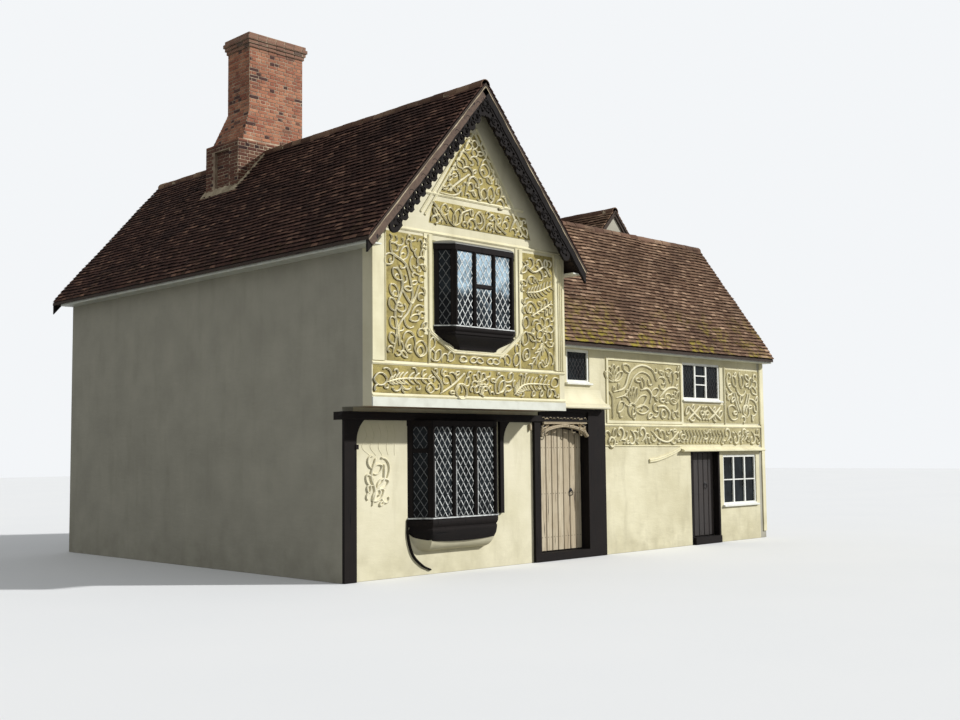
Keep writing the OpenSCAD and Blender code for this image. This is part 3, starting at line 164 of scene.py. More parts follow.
class Shader:
    """A material's node tree, with short calls for the nodes that the finishes share."""

    def __init__(self, name: str) -> None:
        """Starts an empty material with one surface shader.

        Args:
            name: Name of the material.
        """
        self.material = bpy.data.materials.new(name)
        self.material.use_nodes = True
        self.tree = self.material.node_tree
        self.tree.nodes.clear()
        self.surface = self.tree.nodes.new("ShaderNodeBsdfPrincipled")
        output = self.tree.nodes.new("ShaderNodeOutputMaterial")
        self.tree.links.new(self.surface.outputs["BSDF"], output.inputs["Surface"])
        self._where = self.tree.nodes.new("ShaderNodeTexCoord").outputs["Object"]

    def node(self, kind: str, values: dict, **settings) -> bpy.types.Node:
        """Adds a node and fills its inputs.

        Args:
            kind: Type of the node without its ShaderNode prefix.
            values: Sockets or plain values, by the input's name or number.
            settings: Properties of the node.

        Returns:
            The node.
        """
        made = self.tree.nodes.new("ShaderNode" + kind)
        for key, value in settings.items():
            setattr(made, key, value)
        for key, value in values.items():
            if isinstance(value, Socket):
                self.tree.links.new(value, made.inputs[key])
            else:
                made.inputs[key].default_value = value
        return made

    def place(self, stretch: Triple = (1, 1, 1), turn: Triple = (0, 0, 0)) -> Socket:
        """Object coordinates, turned by angles in radians and then stretched."""
        values = {"Vector": self._where, "Scale": stretch, "Rotation": turn}
        return self.node("Mapping", values).outputs["Vector"]

    def noise(self, scale: float, detail: float = 4, rough: float = 0.55, where: Socket | None = None) -> Socket:
        """Cloudy pattern from 0 to 1 at a scale of so many cells a metre."""
        values = {"Vector": where or self._where, "Scale": scale, "Detail": detail, "Roughness": rough}
        return self.node("TexNoise", values).outputs["Fac"]

    def cells(self, scale: float, where: Socket | None = None) -> Socket:
        """Distance to the nearest cell point, for specks and pits."""
        values = {"Vector": where or self._where, "Scale": scale}
        return self.node("TexVoronoi", values).outputs["Distance"]

    def between(self, value: Value, low: float, high: float, start: float = 0.0, end: float = 1.0) -> Socket:
        """Stretches value so that low gives start and high gives end, with nothing beyond."""
        values = {"Value": value, "From Min": low, "From Max": high, "To Min": start, "To Max": end}
        return self.node("MapRange", values, clamp=True).outputs["Result"]

    def sums(self, how: str, first: Value, second: Value) -> Socket:
        """Two values combined by a plain operation such as MULTIPLY or ADD."""
        return self.node("Math", {0: first, 1: second}, operation=how).outputs["Value"]

    def mix(self, share: Value, first: Tone, second: Tone, how: str = "MIX") -> Socket:
        """Colours mixed by a share that a pattern gives.

        Args:
            share: Share of the second colour, from 0 to 1.
            first: Colour at 0.
            second: Colour at 1.
            how: Name of the blend.

        Returns:
            Socket of the mixed colour.
        """
        first = (*first, 1) if isinstance(first, tuple) else first
        second = (*second, 1) if isinstance(second, tuple) else second
        made = self.node("Mix", {0: share, 6: first, 7: second}, data_type="RGBA", blend_type=how)
        return made.outputs[2]

    def tint(self) -> Socket:
        """Number that each tile, brick or board carries, from 0 to 1, or below 0 where tiles get painted shade."""
        return self.node("Attribute", {}, attribute_name="tint").outputs["Fac"]

    def axis(self, name: str) -> Socket:
        """One coordinate of the point in the shared frame: X, Y or Z."""
        return self.node("SeparateXYZ", {"Vector": self._where}).outputs[name]

    def finish(
        self, colour: Socket, rough: Value, height: Socket | None = None, depth: float = 0.002, gloss: float = 0.3
    ) -> bpy.types.Material:
        """Links the surface's colour, roughness and bump.

        Args:
            colour: Socket of the colour.
            rough: Socket or number of the roughness.
            height: Socket of the bump's height, from 0 to 1.
            depth: Depth of the bump in metres.
            gloss: Specular level.

        Returns:
            The material.
        """
        self.tree.links.new(colour, self.surface.inputs["Base Color"])
        if isinstance(rough, Socket):
            self.tree.links.new(rough, self.surface.inputs["Roughness"])
        else:
            self.surface.inputs["Roughness"].default_value = rough
        self.surface.inputs["Specular IOR Level"].default_value = gloss
        if height is not None:
            values = {"Height": height, "Distance": depth, "Strength": 1.0}
            bump = self.node("Bump", values)
            self.tree.links.new(bump.outputs["Normal"], self.surface.inputs["Normal"])
        return self.material


@dataclass(frozen=True)
class LimeRender:
    """Lime plaster under limewash: cloudy tone, faint damp stains and trowel marks."""

    light: Colour
    dark: Colour
    stain: Colour
    stained: float = 0.5
    depth: float = 0.004

    def shade(self, shader: Shader) -> bpy.types.Material:
        """Clouds of two tones, stains that run down, specks of bare sand, trowel waves.

        Args:
            shader: The material's node tree.

        Returns:
            The material.
        """
        cloud = shader.between(shader.noise(1.3, 5), 0.35, 0.68)
        tone = shader.mix(cloud, self.dark, self.light)
        runs = shader.noise(2.2, 6, 0.6, shader.place((1.6, 1.6, 0.35)))
        share = shader.between(runs, 0.52, 0.78, 0.0, self.stained)
        tone = shader.mix(share, tone, self.stain)
        low = shader.between(shader.axis("Z"), 0.0, 0.9, 0.55, 0.0)
        damp = shader.sums("MULTIPLY", low, shader.between(shader.noise(3.1), 0.35, 0.7))
        tone = shader.mix(damp, tone, self.stain)
        specks = shader.between(shader.cells(90), 0.02, 0.16, 0.35, 0.0)
        tone = shader.mix(specks, tone, self.stain)
        trowel = shader.noise(5.5, 3, 0.5, shader.place((0.7, 0.7, 2.2)))
        grain = shader.noise(120, 4, 0.7)
        height = shader.sums("ADD", trowel, shader.sums("MULTIPLY", grain, 0.22))
        rough = shader.between(cloud, 0, 1, 0.82, 0.94)
        return shader.finish(tone, rough, height, self.depth, 0.2)


@dataclass(frozen=True)
class PargetGround:
    """Ochre ground between raised strands: mottled and stippled, with random patches of a deep tone that are painted
    shade between the strands.
    """

    light: Colour
    dark: Colour
    deep: Colour

    def shade(self, shader: Shader) -> bpy.types.Material:
        """Patches of washed colour and of painted shade over a stippled coat.

        Args:
            shader: The material's node tree.

        Returns:
            The material.
        """
        wash = shader.between(shader.noise(3.4, 6, 0.62), 0.36, 0.66)
        tone = shader.mix(wash, self.dark, self.light)
        # painted shade: random patches of the deep tone stand in for the shade that falls between the strands
        shade_patches = shader.between(shader.noise(14, 5, 0.6), 0.52, 0.74, 0.0, 0.7)
        tone = shader.mix(shade_patches, tone, self.deep)
        stipple = shader.sums("ADD", shader.noise(60, 4, 0.7), shader.sums("MULTIPLY", shader.cells(45), 0.5))
        return shader.finish(tone, 0.92, stipple, 0.006, 0.15)


@dataclass(frozen=True)
class Timber:
    """Old timber along one axis: long grain, drying cracks and a tone for each board."""

    light: Colour
    dark: Colour
    crack: Colour
    along: Triple = (1, 1, 0.06)
    rough: float = 0.7
    gloss: float = 0.35
    depth: float = 0.003

    def shade(self, shader: Shader) -> bpy.types.Material:
        """Noise that is stretched along the grain gives the figure, the cracks and the bump.

        Args:
            shader: The material's node tree.

        Returns:
            The material.
        """
        stretched = shader.place(self.along)
        figure = shader.noise(46, 5, 0.6, stretched)
        tone = shader.mix(shader.between(figure, 0.3, 0.7), self.dark, self.light)
        worn = shader.between(shader.noise(2.5, 5), 0.45, 0.75, 0.0, 0.6)
        tone = shader.mix(worn, tone, self.light)
        own = shader.between(shader.tint(), 0, 1, 0.0, 0.45)
        tone = shader.mix(own, tone, self.dark)
        cracks = shader.between(shader.noise(24, 3, 0.5, stretched), 0.64, 0.70)
        tone = shader.mix(cracks, tone, self.crack)
        height = shader.sums("SUBTRACT", figure, shader.sums("MULTIPLY", cracks, 0.8))
        rough = shader.between(figure, 0.2, 0.8, self.rough - 0.12, self.rough + 0.12)
        return shader.finish(tone, rough, height, self.depth, self.gloss)


@dataclass(frozen=True)
class PaintedBoard:
    """Painted joinery: even coat, brush marks, dirt and small flaked spots."""

    paint: Colour
    dirt: Colour
    bare: Colour

    def shade(self, shader: Shader) -> bpy.types.Material:
        """Dirt gathers in clouds and the coat flakes in a few small spots.

        Args:
            shader: The material's node tree.

        Returns:
            The material.
        """
        dirt = shader.between(shader.noise(4.5, 6), 0.45, 0.8, 0.0, 0.7)
        tone = shader.mix(dirt, self.paint, self.dirt)
        flakes = shader.between(shader.noise(38, 4, 0.7), 0.70, 0.74)
        tone = shader.mix(flakes, tone, self.bare)
        brush = shader.noise(30, 3, 0.6, shader.place((0.15, 1, 1)))
        height = shader.sums("SUBTRACT", brush, flakes)
        return shader.finish(tone, shader.between(dirt, 0, 1, 0.42, 0.7), height, 0.0012, 0.4)


@dataclass(frozen=True)
class RoofClay:
    """Hand made clay tiles: each with its own tone, weathered, with lichen and moss."""

    tones: tuple[Colour, Colour, Colour]
    soot: Colour
    # painted shade between the courses
    gap: Colour
    lichen: Colour
    moss: Colour
    lichened: float
    mossed: float
    moss_foot: float

    def shade(self, shader: Shader) -> bpy.types.Material:
        """The tile's own number picks its tone; weather lies over all tiles in patches; a number below zero paints
        shade.

        Args:
            shader: The material's node tree.

        Returns:
            The material.
        """
        own = shader.tint()
        first, second, third = self.tones
        tone = shader.mix(shader.between(own, 0.0, 0.6), first, second)
        tone = shader.mix(shader.between(own, 0.62, 1.0), tone, third)
        patches = shader.between(shader.noise(1.1, 6, 0.6), 0.38, 0.68, 0.0, 0.75)
        tone = shader.mix(patches, tone, self.soot)
        specks = shader.sums("MULTIPLY", shader.between(shader.cells(16), 0.08, 0.2, 1.0, 0.0),
                             shader.between(shader.noise(2.0, 4), 0.48, 0.66, 0.0, self.lichened))
        tone = shader.mix(specks, tone, self.lichen)
        low = shader.between(shader.axis("Z"), self.moss_foot, self.moss_foot + 1.1, self.mossed, 0.02)
        cushions = shader.sums("MULTIPLY", shader.between(shader.noise(6.0, 6, 0.65), 0.47, 0.6),
                               shader.between(shader.noise(1.4, 2), 0.46, 0.54))
        tone = shader.mix(shader.sums("MULTIPLY", low, cushions), tone, self.moss)
        # painted shade: faces numbered below zero, the tiles' tail ends and the parts that the next course covers, take
        # the dark gap tone as shade between the courses
        tone = shader.mix(shader.between(own, -0.8, -0.2, 0.9, 0.0), tone, self.gap)
        height = shader.sums("ADD", shader.noise(70, 4, 0.7), shader.sums("MULTIPLY", specks, 0.8))
        return shader.finish(tone, 0.92, height, 0.004, 0.04)


@dataclass(frozen=True)
class StackBrick:
    """Soft red bricks: each with its own tone, pitted, some burnt dark."""

    red: Colour
    orange: Colour
    burnt: Colour
    bloom: Colour
    sooted: Colour = linear(44, 30, 30)

    def shade(self, shader: Shader) -> bpy.types.Material:
        """The brick's own number picks its tone, with soot and pale bloom over all.

        Args:
            shader: The material's node tree.

        Returns:
            The material.
        """
        own = shader.tint()
        tone = shader.mix(shader.between(own, 0.1, 0.85), self.red, self.orange)
        tone = shader.mix(shader.between(own, 0.88, 0.93), tone, self.burnt)
        soot = shader.between(shader.noise(1.4, 5), 0.45, 0.75, 0.0, 0.5)
        tone = shader.mix(soot, tone, self.burnt)
        bloom = shader.between(shader.noise(9, 6, 0.7), 0.58, 0.75, 0.0, 0.55)
        tone = shader.mix(bloom, tone, self.bloom)
        tone = shader.mix(shader.between(shader.axis("Z"), 8.36, 8.42, 0.72, 0.0), tone, self.sooted)
        tone = shader.mix(shader.between(shader.axis("Z"), 10.30, 10.42, 0.0, 0.6), tone, linear(118, 102, 90))
        pits = shader.sums("SUBTRACT", shader.noise(85, 4, 0.7), shader.between(shader.cells(70), 0, 0.15, 0.6, 0))
        return shader.finish(tone, 0.9, pits, 0.004, 0.2)


@dataclass(frozen=True)
class Mortar:
    """Lime mortar: sandy, stained by soot in patches."""

    light: Colour
    dark: Colour

    def shade(self, shader: Shader) -> bpy.types.Material:
        """Sand grain under cloudy stains.

        Args:
            shader: The material's node tree.

        Returns:
            The material.
        """
        stains = shader.between(shader.noise(3.5, 6, 0.6), 0.35, 0.7)
        tone = shader.mix(stains, self.dark, self.light)
        specks = shader.between(shader.cells(55), 0.1, 0.24, 0.6, 0.0)
        tone = shader.mix(specks, tone, self.dark)
        return shader.finish(tone, 0.94, shader.noise(110, 5, 0.75), 0.005, 0.15)


@dataclass(frozen=True)
class PaneGlass:
    """Old leaded glass with a painted reflection: each diamond pane takes its own share of a pale sky tone over a deep
    one.
    """

    deep: Colour
    sky: Colour
    brightness: float
    pane_width: float = 0.13
    pane_height: float = 0.19
    dark_side: float = 0.0

    def shade(self, shader: Shader) -> bpy.types.Material:
        """A random number for each diamond mixes a deep tone with a pale one, as a painted reflection of the sky.

        Args:
            shader: The material's node tree.

        Returns:
            The material.
        """
        across = shader.node("Math", {0: shader.axis("X"), 1: 1 / self.pane_width}, operation="MULTIPLY").outputs[0]
        up = shader.node("Math", {0: shader.axis("Z"), 1: 1 / self.pane_height}, operation="MULTIPLY").outputs[0]
        first = self._whole(shader, shader.sums("ADD", across, up))
        second = self._whole(shader, shader.sums("SUBTRACT", across, up))
        cell = shader.node("CombineXYZ", {"X": first, "Y": second}).outputs[0]
        own = shader.node("TexWhiteNoise", {"Vector": cell}, noise_dimensions="3D").outputs["Value"]
        drift = shader.between(shader.noise(2.6, 4), 0.35, 0.65)
        share = shader.sums("MULTIPLY", shader.sums("ADD", shader.sums("MULTIPLY", own, 0.6), drift), self.brightness)
        # painted reflection: the lower part of the upper window keeps little of the pale tone, as it mirrors dark
        # trees, and its slanting side lights beyond dark_side from the middle mirror no sky
        if self.dark_side:
            shade = shader.noise(2.1, 5, 0.6, shader.place((1.0, 1.0, 0.8)))
            height = shader.sums("ADD", shader.sums("MULTIPLY", shader.axis("Z"), 0.9), shade)
            share = shader.sums("MULTIPLY", share, shader.between(height, 4.60, 4.78, 0.06, 1.0))
            shifted = shader.sums("ADD", shader.axis("X"), HOUSE_ORIGIN[0] - PLAN.oriel_middle)
            aside = shader.node("Math", {0: shifted}, operation="ABSOLUTE").outputs[0]
            sided = shader.between(aside, self.dark_side - 0.02, self.dark_side, 1.0, 0.04)
            share = shader.sums("MULTIPLY", share, sided)
        tone = shader.mix(shader.between(share, 0, 1), self.deep, self.sky)
        return shader.finish(tone, 0.2, shader.noise(9, 2), 0.004, 0.08)

    @staticmethod
    def _whole(shader: Shader, value: Value) -> Socket:
        """The whole number under a value."""
        return shader.node("Math", {0: value}, operation="FLOOR").outputs[0]


@dataclass(frozen=True)
class Metal:
    """Dull metal with a patchy skin, for lead and wrought iron."""

    light: Colour
    dark: Colour
    rough: float = 0.5
    metallic: float = 0.6

    def shade(self, shader: Shader) -> bpy.types.Material:
        """Patches of skin over bare metal, with small dents; the piece's own number dulls it.

        Args:
            shader: The material's node tree.

        Returns:
            The material.
        """
        skin = shader.sums("MULTIPLY", shader.between(shader.noise(12, 5, 0.6), 0.3, 0.55), shader.tint())
        tone = shader.mix(skin, self.dark, self.light)
        shader.surface.inputs["Metallic"].default_value = self.metallic
        rough = shader.between(skin, 0, 1, self.rough - 0.1, self.rough + 0.15)
        return shader.finish(tone, rough, shader.noise(30, 3), 0.002, 0.5)


class Finishes(Enum):
    """All finishes of the house; each makes its material once and hands it out after that."""

    gable_render = LimeRender(*tones("e4ddc1 d5ceaf aea688"), 0.4)
    # painted shade: a greyer, darker copy of the cream lime, for the side and back walls that stand in shade
    shaded_flank_render = LimeRender(*tones("b2ae9e a4a091 8c8878"), 0.3, 0.005)
    range_render = LimeRender(*tones("e0d9ba cdc5a4 a59d80"), 0.45, 0.006)
    strand_render = LimeRender(*tones("fdf7dc f6eecc cec49c"), 0.3, 0.003)
    moulding_render = LimeRender(*tones("eae3c2 d8d0ac aaa07e"), 0.4, 0.003)
    ochre_ground = PargetGround(*tones("baaa68 8e8254 5c4e30"))
    # painted shade: the greyer olive of the plain strips that stand for shadow beside the panels
    painted_shade_ground = PargetGround(*tones("a09a74 8e8866 7a7456"))
    # painted shadow: dark finishes of the strips beside the strands' feet, on the gable and on the range
    gable_shadow_paint = PargetGround(*tones("70643e 584c2e 3e3220"))
    range_shadow_paint = PargetGround(*tones("928862 7e7350 62563a"))
    range_ground = PargetGround(*tones("bcb288 a89e76 867c58"))
    range_strand = LimeRender(*tones("ece5c4 e2dab8 b6ac86"), 0.4, 0.003)
    black_timber = Timber(*tones("201b19 0f0d0d 070606"), (1, 1, 0.06), 0.8, 0.12)
    black_beam = Timber(*tones("1e1a18 0f0d0d 070606"), (0.06, 1, 1), 0.8, 0.12)
    verge_oak = Timber(*tones("766254 483a32 241e1c"), (0.35, 1, 0.35), 0.8, 0.2)
    door_oak = Timber(*tones("cec2a8 a29176 42382e"), (1, 1, 0.05), 0.8, 0.25)
    dark_door = Timber(*tones("342c28 1c1816 0c0b0b"))
    rafter_oak = Timber(*tones("4a3e36 2e2621 14110f"), (1, 0.1, 1), 0.85, 0.2)
    floor_boards = Timber(*tones("987c5c 70583e 30261e"), (1, 0.05, 1), 0.6)
    white_paint = PaintedBoard(*tones("e8e8e0 c4c2b6 968c7c"))
    fascia_paint = PaintedBoard(*tones("d8d9cc b8b6a6 8c8474"))
    wing_tiles = RoofClay(tones("42302b 5c433a 92705e"), *tones("302624 090707 a09688 5c582e"), 0.6, 0.15, 5.2)
    range_tiles = RoofClay(tones("644c3d 866c58 b4967c"), *tones("4e3c32 100c0a c6bca0 96883a"), 0.8, 1.0, 4.05)
    ridge_clay = RoofClay(tones("60483c 7a6050 967c66"), *tones("4a3a32 3c2c26 b0a692 6e6636"), 0.7, 0.1, 6.0)
    stack_brick = StackBrick(*tones("945c48 b88062 4e3632 c4a88e"))
    stack_mortar = Mortar(*tones("c4b298 806c5c"))
    bedding = Mortar(*tones("cec0a2 80705c"))
    # painted reflections: the pale tone of each glass is the sky that it mirrors, strong in the upper window and faint
    # in the others
    sky_glass = PaneGlass(*tones("080b0e a8c0ce"), 0.9, dark_side=0.68)
    dark_glass = PaneGlass(*tones("040506 30383c"), 0.3)
    # its near-white tone is a painted highlight, which each lead takes by its number
    came_lead = Metal(*tones("f0f2ee 343637"), 0.6, 0.1)
    sheet_lead = Metal(*tones("a8a8a0 70706c"), 0.55, 0.4)
    iron = Metal(*tones("302e2d 181616"), 0.5, 0.6)

    def material(self) -> bpy.types.Material:
        """The finish's material, made on the first call."""
        name = self.name + "_finish"
        return bpy.data.materials.get(name) or self.value.shade(Shader(name))


# --- meshes from arrays


class Gathered:
    """Gathers closed numpy surfaces and makes one mesh of them."""

    def __init__(self) -> None:
        """Starts with no surface."""
        self._points: list[Array] = []
        self._faces: list[Array] = []
        self._tints: list[Array] = []
        self._count = 0

    def tubes(self, rings: Array, tint: Array | float = 0.5, end_tint: float | None = None,
              late_tint: float | None = None) -> None:
        """Adds closed tubes: rings of points joined by quads, with a face over each end.

        Args:
            rings: Points of shape (tubes, rings, points of a ring, 3).
            tint: One number for each tube, or one for all.
            end_tint: Number of the face over the first ring, where it isn't the tube's.
            late_tint: Number of the faces between the last two rings, where it isn't the tube's.
        """
        tubes, rows, cols, _ = rings.shape
        if tubes == 0:
            return
        row, col = np.arange(rows - 1)[:, None], np.arange(cols)[None, :]
        after = (col + 1) % cols
        quad = np.stack([row * cols + col, row * cols + after, (row + 1) * cols + after, (row + 1) * cols + col], -1)
        start = self._count + np.arange(tubes) * rows * cols
        self._faces.append((quad.reshape(1, -1, 4) + start[:, None, None]).reshape(-1, 4))
        first = start[:, None] + np.arange(cols)[None, ::-1]
        last = start[:, None] + (rows - 1) * cols + np.arange(cols)[None, :]
        self._faces.append(np.concatenate([first, last]))
        own = np.broadcast_to(np.asarray(tint, float).reshape(-1), (tubes,)) if np.ndim(tint) else np.full(tubes, tint)
        first_end = own if end_tint is None else np.full(tubes, end_tint)
        body = np.repeat(own, (rows - 1) * cols).reshape(tubes, rows - 1, cols)
        if late_tint is not None:
            body[:, -1] = late_tint
        self._tints.append(np.concatenate([body.reshape(-1), first_end, own]))
        self._points.append(rings.reshape(-1, 3))
        self._count += tubes * rows * cols

    def mesh(self, name: str, smooth: float = 35.0) -> bpy.types.Mesh:
        """Makes the mesh, with its faces turned outwards.

        Args:
            name: Name of the mesh.
            smooth: Largest angle in degrees that is shaded as a curve.

        Returns:
            The mesh in the shared frame, with the tint as a face attribute.
        """
        points = np.concatenate(self._points) - HOUSE_ORIGIN
        sizes = np.concatenate([np.full(len(f), f.shape[1]) for f in self._faces])
        corners = np.concatenate([f.reshape(-1) for f in self._faces])
        made = bpy.data.meshes.new(name)
        made.vertices.add(len(points))
        made.vertices.foreach_set("co", points.astype(np.float32).reshape(-1))
        made.loops.add(len(corners))
        made.loops.foreach_set("vertex_index", corners.astype(np.int32))
        made.polygons.add(len(sizes))
        made.polygons.foreach_set("loop_start", np.concatenate([[0], np.cumsum(sizes)[:-1]]).astype(np.int32))
        made.polygons.foreach_set("use_smooth", np.ones(len(sizes), bool))
        attribute = made.attributes.new("tint", "FLOAT", "FACE")
        attribute.data.foreach_set("value", np.concatenate(self._tints).astype(np.float32))
        made.update(calc_edges=True)
        made.validate()
        turned = bmesh.new()
        turned.from_mesh(made)
        bmesh.ops.recalc_face_normals(turned, faces=turned.faces)
        turned.to_mesh(made)
        turned.free()
        made.set_sharp_from_angle(angle=math.radians(smooth))
        return made

    def build(self, name: str, finish: Finishes, slot: str, body: str = "house",
              smooth: float = 35.0) -> bpy.types.Object:
        """Makes the mesh an object of the scene that rides on a body of the frame.

        Args:
            name: Name of the piece.
            finish: Its finish.
            slot: Name of a material slot; not used.
            body: The body that it moves with.
            smooth: Largest angle in degrees that is shaded as a curve.

        Returns:
            The object.
        """
        made = bpy.data.objects.new(name, self.mesh(name, smooth))
        bpy.context.scene.collection.objects.link(made)
        made.data.materials.append(finish.material())
        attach(made, body)
        LOG.info("%s: %d faces", name, len(made.data.polygons))
        return made


def joined(x: Array | float, y: Array | float, z: Array | float) -> Array:
    """Points from their three coordinates, which are broadcast to one shape."""
    return np.stack(np.broadcast_arrays(x, y, z), -1)


def swell(points: Array, seed: float, size: float = 1.0) -> Array:
    """Soft hand made unevenness from 0 to 1: three crossing sine waves over a surface.

    Args:
        points: Places on the surface, in metres.
        seed: Shift of the waves.
        size: Number of waves in usual numbers.

    Returns:
        One number for each point.
    """
    first = np.sin(points[..., 0] * 1.7 * size + seed) * np.cos(points[..., 1] * 2.3 * size + seed * 1.7)
    second = np.sin(points[..., 0] * 4.1 * size + points[..., 1] * 3.3 * size + seed * 2.1)
    third = np.sin(points[..., 0] * 9.7 * size - points[..., 1] * 7.9 * size + seed * 0.7)
    return np.clip(0.5 + 0.28 * first + 0.16 * second + 0.08 * third, 0, 1)


# --- tiled roofs


@dataclass
class TiledSlope:
    """Courses of plain clay tiles over one slope.

    Attributes:
        corner: Lowest corner of the slope's top, where along and up start.
        along: Direction of the eaves.
        up: Direction up the slope.
        width: Length along the eaves.
        height: Length up the slope.
        sag: How far the tiles rise and fall over the boards.
        cuts: Planes past which tiles are cut away, as a point and an outward direction.
        holes: Areas without tiles, as (along from, along to, up from, up to).
        first: Height up the slope of the lowest tail.
        last: Height up the slope that no tail passes.
    """

    name: str
    corner: Triple
    along: Triple
    up: Triple
    width: float
    height: float
    finish: Finishes
    slot: str
    seed: int
    gauge: float = 0.103
    tile: float = 0.165
    thick: float = 0.016
    sag: float = 0.022
    cuts: list[tuple[Triple, Triple]] = field(default_factory=list)
    holes: list[tuple[float, float, float, float]] = field(default_factory=list)
    first: float = 0.0
    last: float = NO_END

    def tiles(self) -> tuple[Array, Array]:
        """Works out every tile as a cambered slab that leans on the course below.

        Returns:
            Rings of shape (tiles, 3, 6, 3) and one number from 0 to 1 for each tile.
        """
        rng = np.random.default_rng(self.seed)
        corner, along, up = (np.array(v, float) for v in (self.corner, self.along, self.up))
        rows, cols = int(self.height / self.gauge), int(self.width / self.tile) + 2
        row, col = [a.reshape(-1) for a in np.meshgrid(np.arange(rows), np.arange(cols), indexing="ij")]
        left = (col - 0.5 * (row % 2) - 0.5) * self.tile
        left = np.clip(left + 0.002, 0, self.width)
        right = np.clip((col - 0.5 * (row % 2) + 0.5) * self.tile - 0.002, 0, self.width)
        tail = row * self.gauge + rng.normal(0, 0.004, len(row))
        middle = (left + right) / 2
        drift = 0.012 * np.sin(middle * 1.3 + self.seed) + 0.006 * np.sin(middle * 3.1 + row * 1.7)
        tail = tail + drift * np.minimum(row, 4) / 4
        keep = (right - left > 0.03) & (row * self.gauge >= self.first) & (row * self.gauge < self.last)
        for a0, a1, s0, s1 in self.holes:
            keep &= ~((middle > a0) & (middle < a1) & (tail + self.gauge > s0) & (tail < s1))
        left, right, tail, row, middle = left[keep], right[keep], tail[keep], row[keep], middle[keep]
        count = len(row)
        tail = np.maximum(tail, 0)
        head = np.minimum(tail + self.gauge + 0.03, self.height)
        lean = rng.normal(0, 0.004, (count, 2))
        lift = np.abs(rng.normal(0, 0.004, count))
        across = np.stack([left, middle, right, right, middle, left], 1)
        camber = np.array([0, 0.0035, 0, 0, 0.0035, 0])
        top = np.array([1, 1, 1, 0, 0, 0])
        rings = np.zeros((count, 3, 6, 3))
        raised, seen = self.thick + 0.003 + lift, tail + 0.74 * self.gauge
        seat = raised - (raised + 0.002) * (seen - tail) / (head - tail)
        bends = [(tail, raised), (np.minimum(seen, head - 0.001), seat), (head, np.full(count, -0.002))]
        for ring, (along_slope, height) in enumerate(bends):
            skew = lean[:, :1] * np.array([-1, 0, 1, 1, 0, -1]) if ring == 0 else 0
            slope = along_slope[:, None] + skew
            place = np.stack([across, np.broadcast_to(slope, across.shape)], -1)
            wave = self.sag * swell(place, self.seed, 0.8) * np.clip(slope / 0.4, 0, 1)
            out = (height[:, None] + top * self.thick + camber + wave)[..., None]
            rings[:, ring] = corner + across[..., None] * along + place[..., 1:] * up + out * np.cross(along, up)
        tone = np.clip(rng.normal(0.5, 0.24, count), 0, 1)
        return rings, tone

    def build(self) -> bpy.types.Object:
        """Makes the tiles one piece, kept inside the house's box and cut at its valleys.

        Returns:
            The piece.
        """
        rings, tone = self.tiles()
        parts = Gathered()
        # the tail ends get -1 and the covered parts -0.5, which the clay finish turns into painted shade between the
        # courses
        parts.tubes(np.clip(rings, HOUSE_LOW, HOUSE_HIGH), tone, -1.0, -0.5)
        made = parts.build(self.name, self.finish, self.slot, smooth=25)
        if self.cuts:
            cut_away(made, self.cuts)
        return made


def cut_away(piece: bpy.types.Object, cuts: list[tuple[Triple, Triple]]) -> None:
    """Cuts a piece at planes, drops what is past them and closes the cuts.

    Args:
        piece: The piece.
        cuts: Planes, as a point and an outward direction.
    """
    work = bmesh.new()
    work.from_mesh(piece.data)
    for point, direction in cuts:
        made = bmesh.ops.bisect_plane(
            work, geom=work.verts[:] + work.edges[:] + work.faces[:], dist=1e-6,
            plane_co=Vector(np.array(point) - HOUSE_ORIGIN), plane_no=Vector(direction), clear_outer=True
        )
        edges = [e for e in made["geom_cut"] if isinstance(e, bmesh.types.BMEdge)]
        bmesh.ops.holes_fill(work, edges=edges, sides=0)
    work.to_mesh(piece.data)
    work.free()


@dataclass
class RidgeRun:
    """Half round ridge tiles bedded end to end, each a little out of line."""

    start: Array
    end: Array
    seed: int
    radius: float = 0.105
    length: float = 0.31

    def add(self, tiles: Gathered, beds: Gathered) -> None:
        """Adds the ridge tiles and the mortar bed under them.

        Each tile is half a cylinder about the ridge, a little wider at the end that laps the
        next one; the bed is a lower half cylinder that shows between them.

        Args:
            tiles: Where the tiles are gathered.
            beds: Where the mortar is gathered.
        """
        rng = np.random.default_rng(self.seed)
        run = self.end - self.start
        count = max(1, round(float(np.linalg.norm(run)) / self.length))
        ends = np.linspace(0, 1, count + 1)
        side = np.cross(run / np.linalg.norm(run), [0, 0, 1])
        angle = np.radians(np.linspace(-28, 208, 11))
        sway = rng.normal(0, 0.006, (count, 2, 2))
        rings = np.zeros((count, 3, 11, 3))
        for ring, (share, size) in enumerate([(0.0, 1.0), (0.93, 1.0), (1.0, 0.94)]):
            at = self.start + (ends[:-1, None] * (1 - share) + ends[1:, None] * share) * run
            sideways = sway[:, 0, 0] * (1 - share) + sway[:, 1, 0] * share
            upward = np.abs(sway[:, 0, 1] * (1 - share) + sway[:, 1, 1] * share)
            size = self.radius * size
            rings[:, ring] = at[:, None] + size * np.cos(angle)[None, :, None] * side
            rings[:, ring] += sideways[:, None, None] * side
            rings[:, ring, :, 2] += size * np.sin(angle) + upward[:, None] - 0.45 * self.radius
        tiles.tubes(rings, rng.random(count))
        low = np.stack([self.start, self.end])[:, None] + 0.9 * self.radius * np.cos(angle)[:, None] * side
        low = low[None].copy()
        low[..., 2] += 0.9 * self.radius * np.sin(angle) - 0.45 * self.radius
        beds.tubes(low)


# --- brickwork


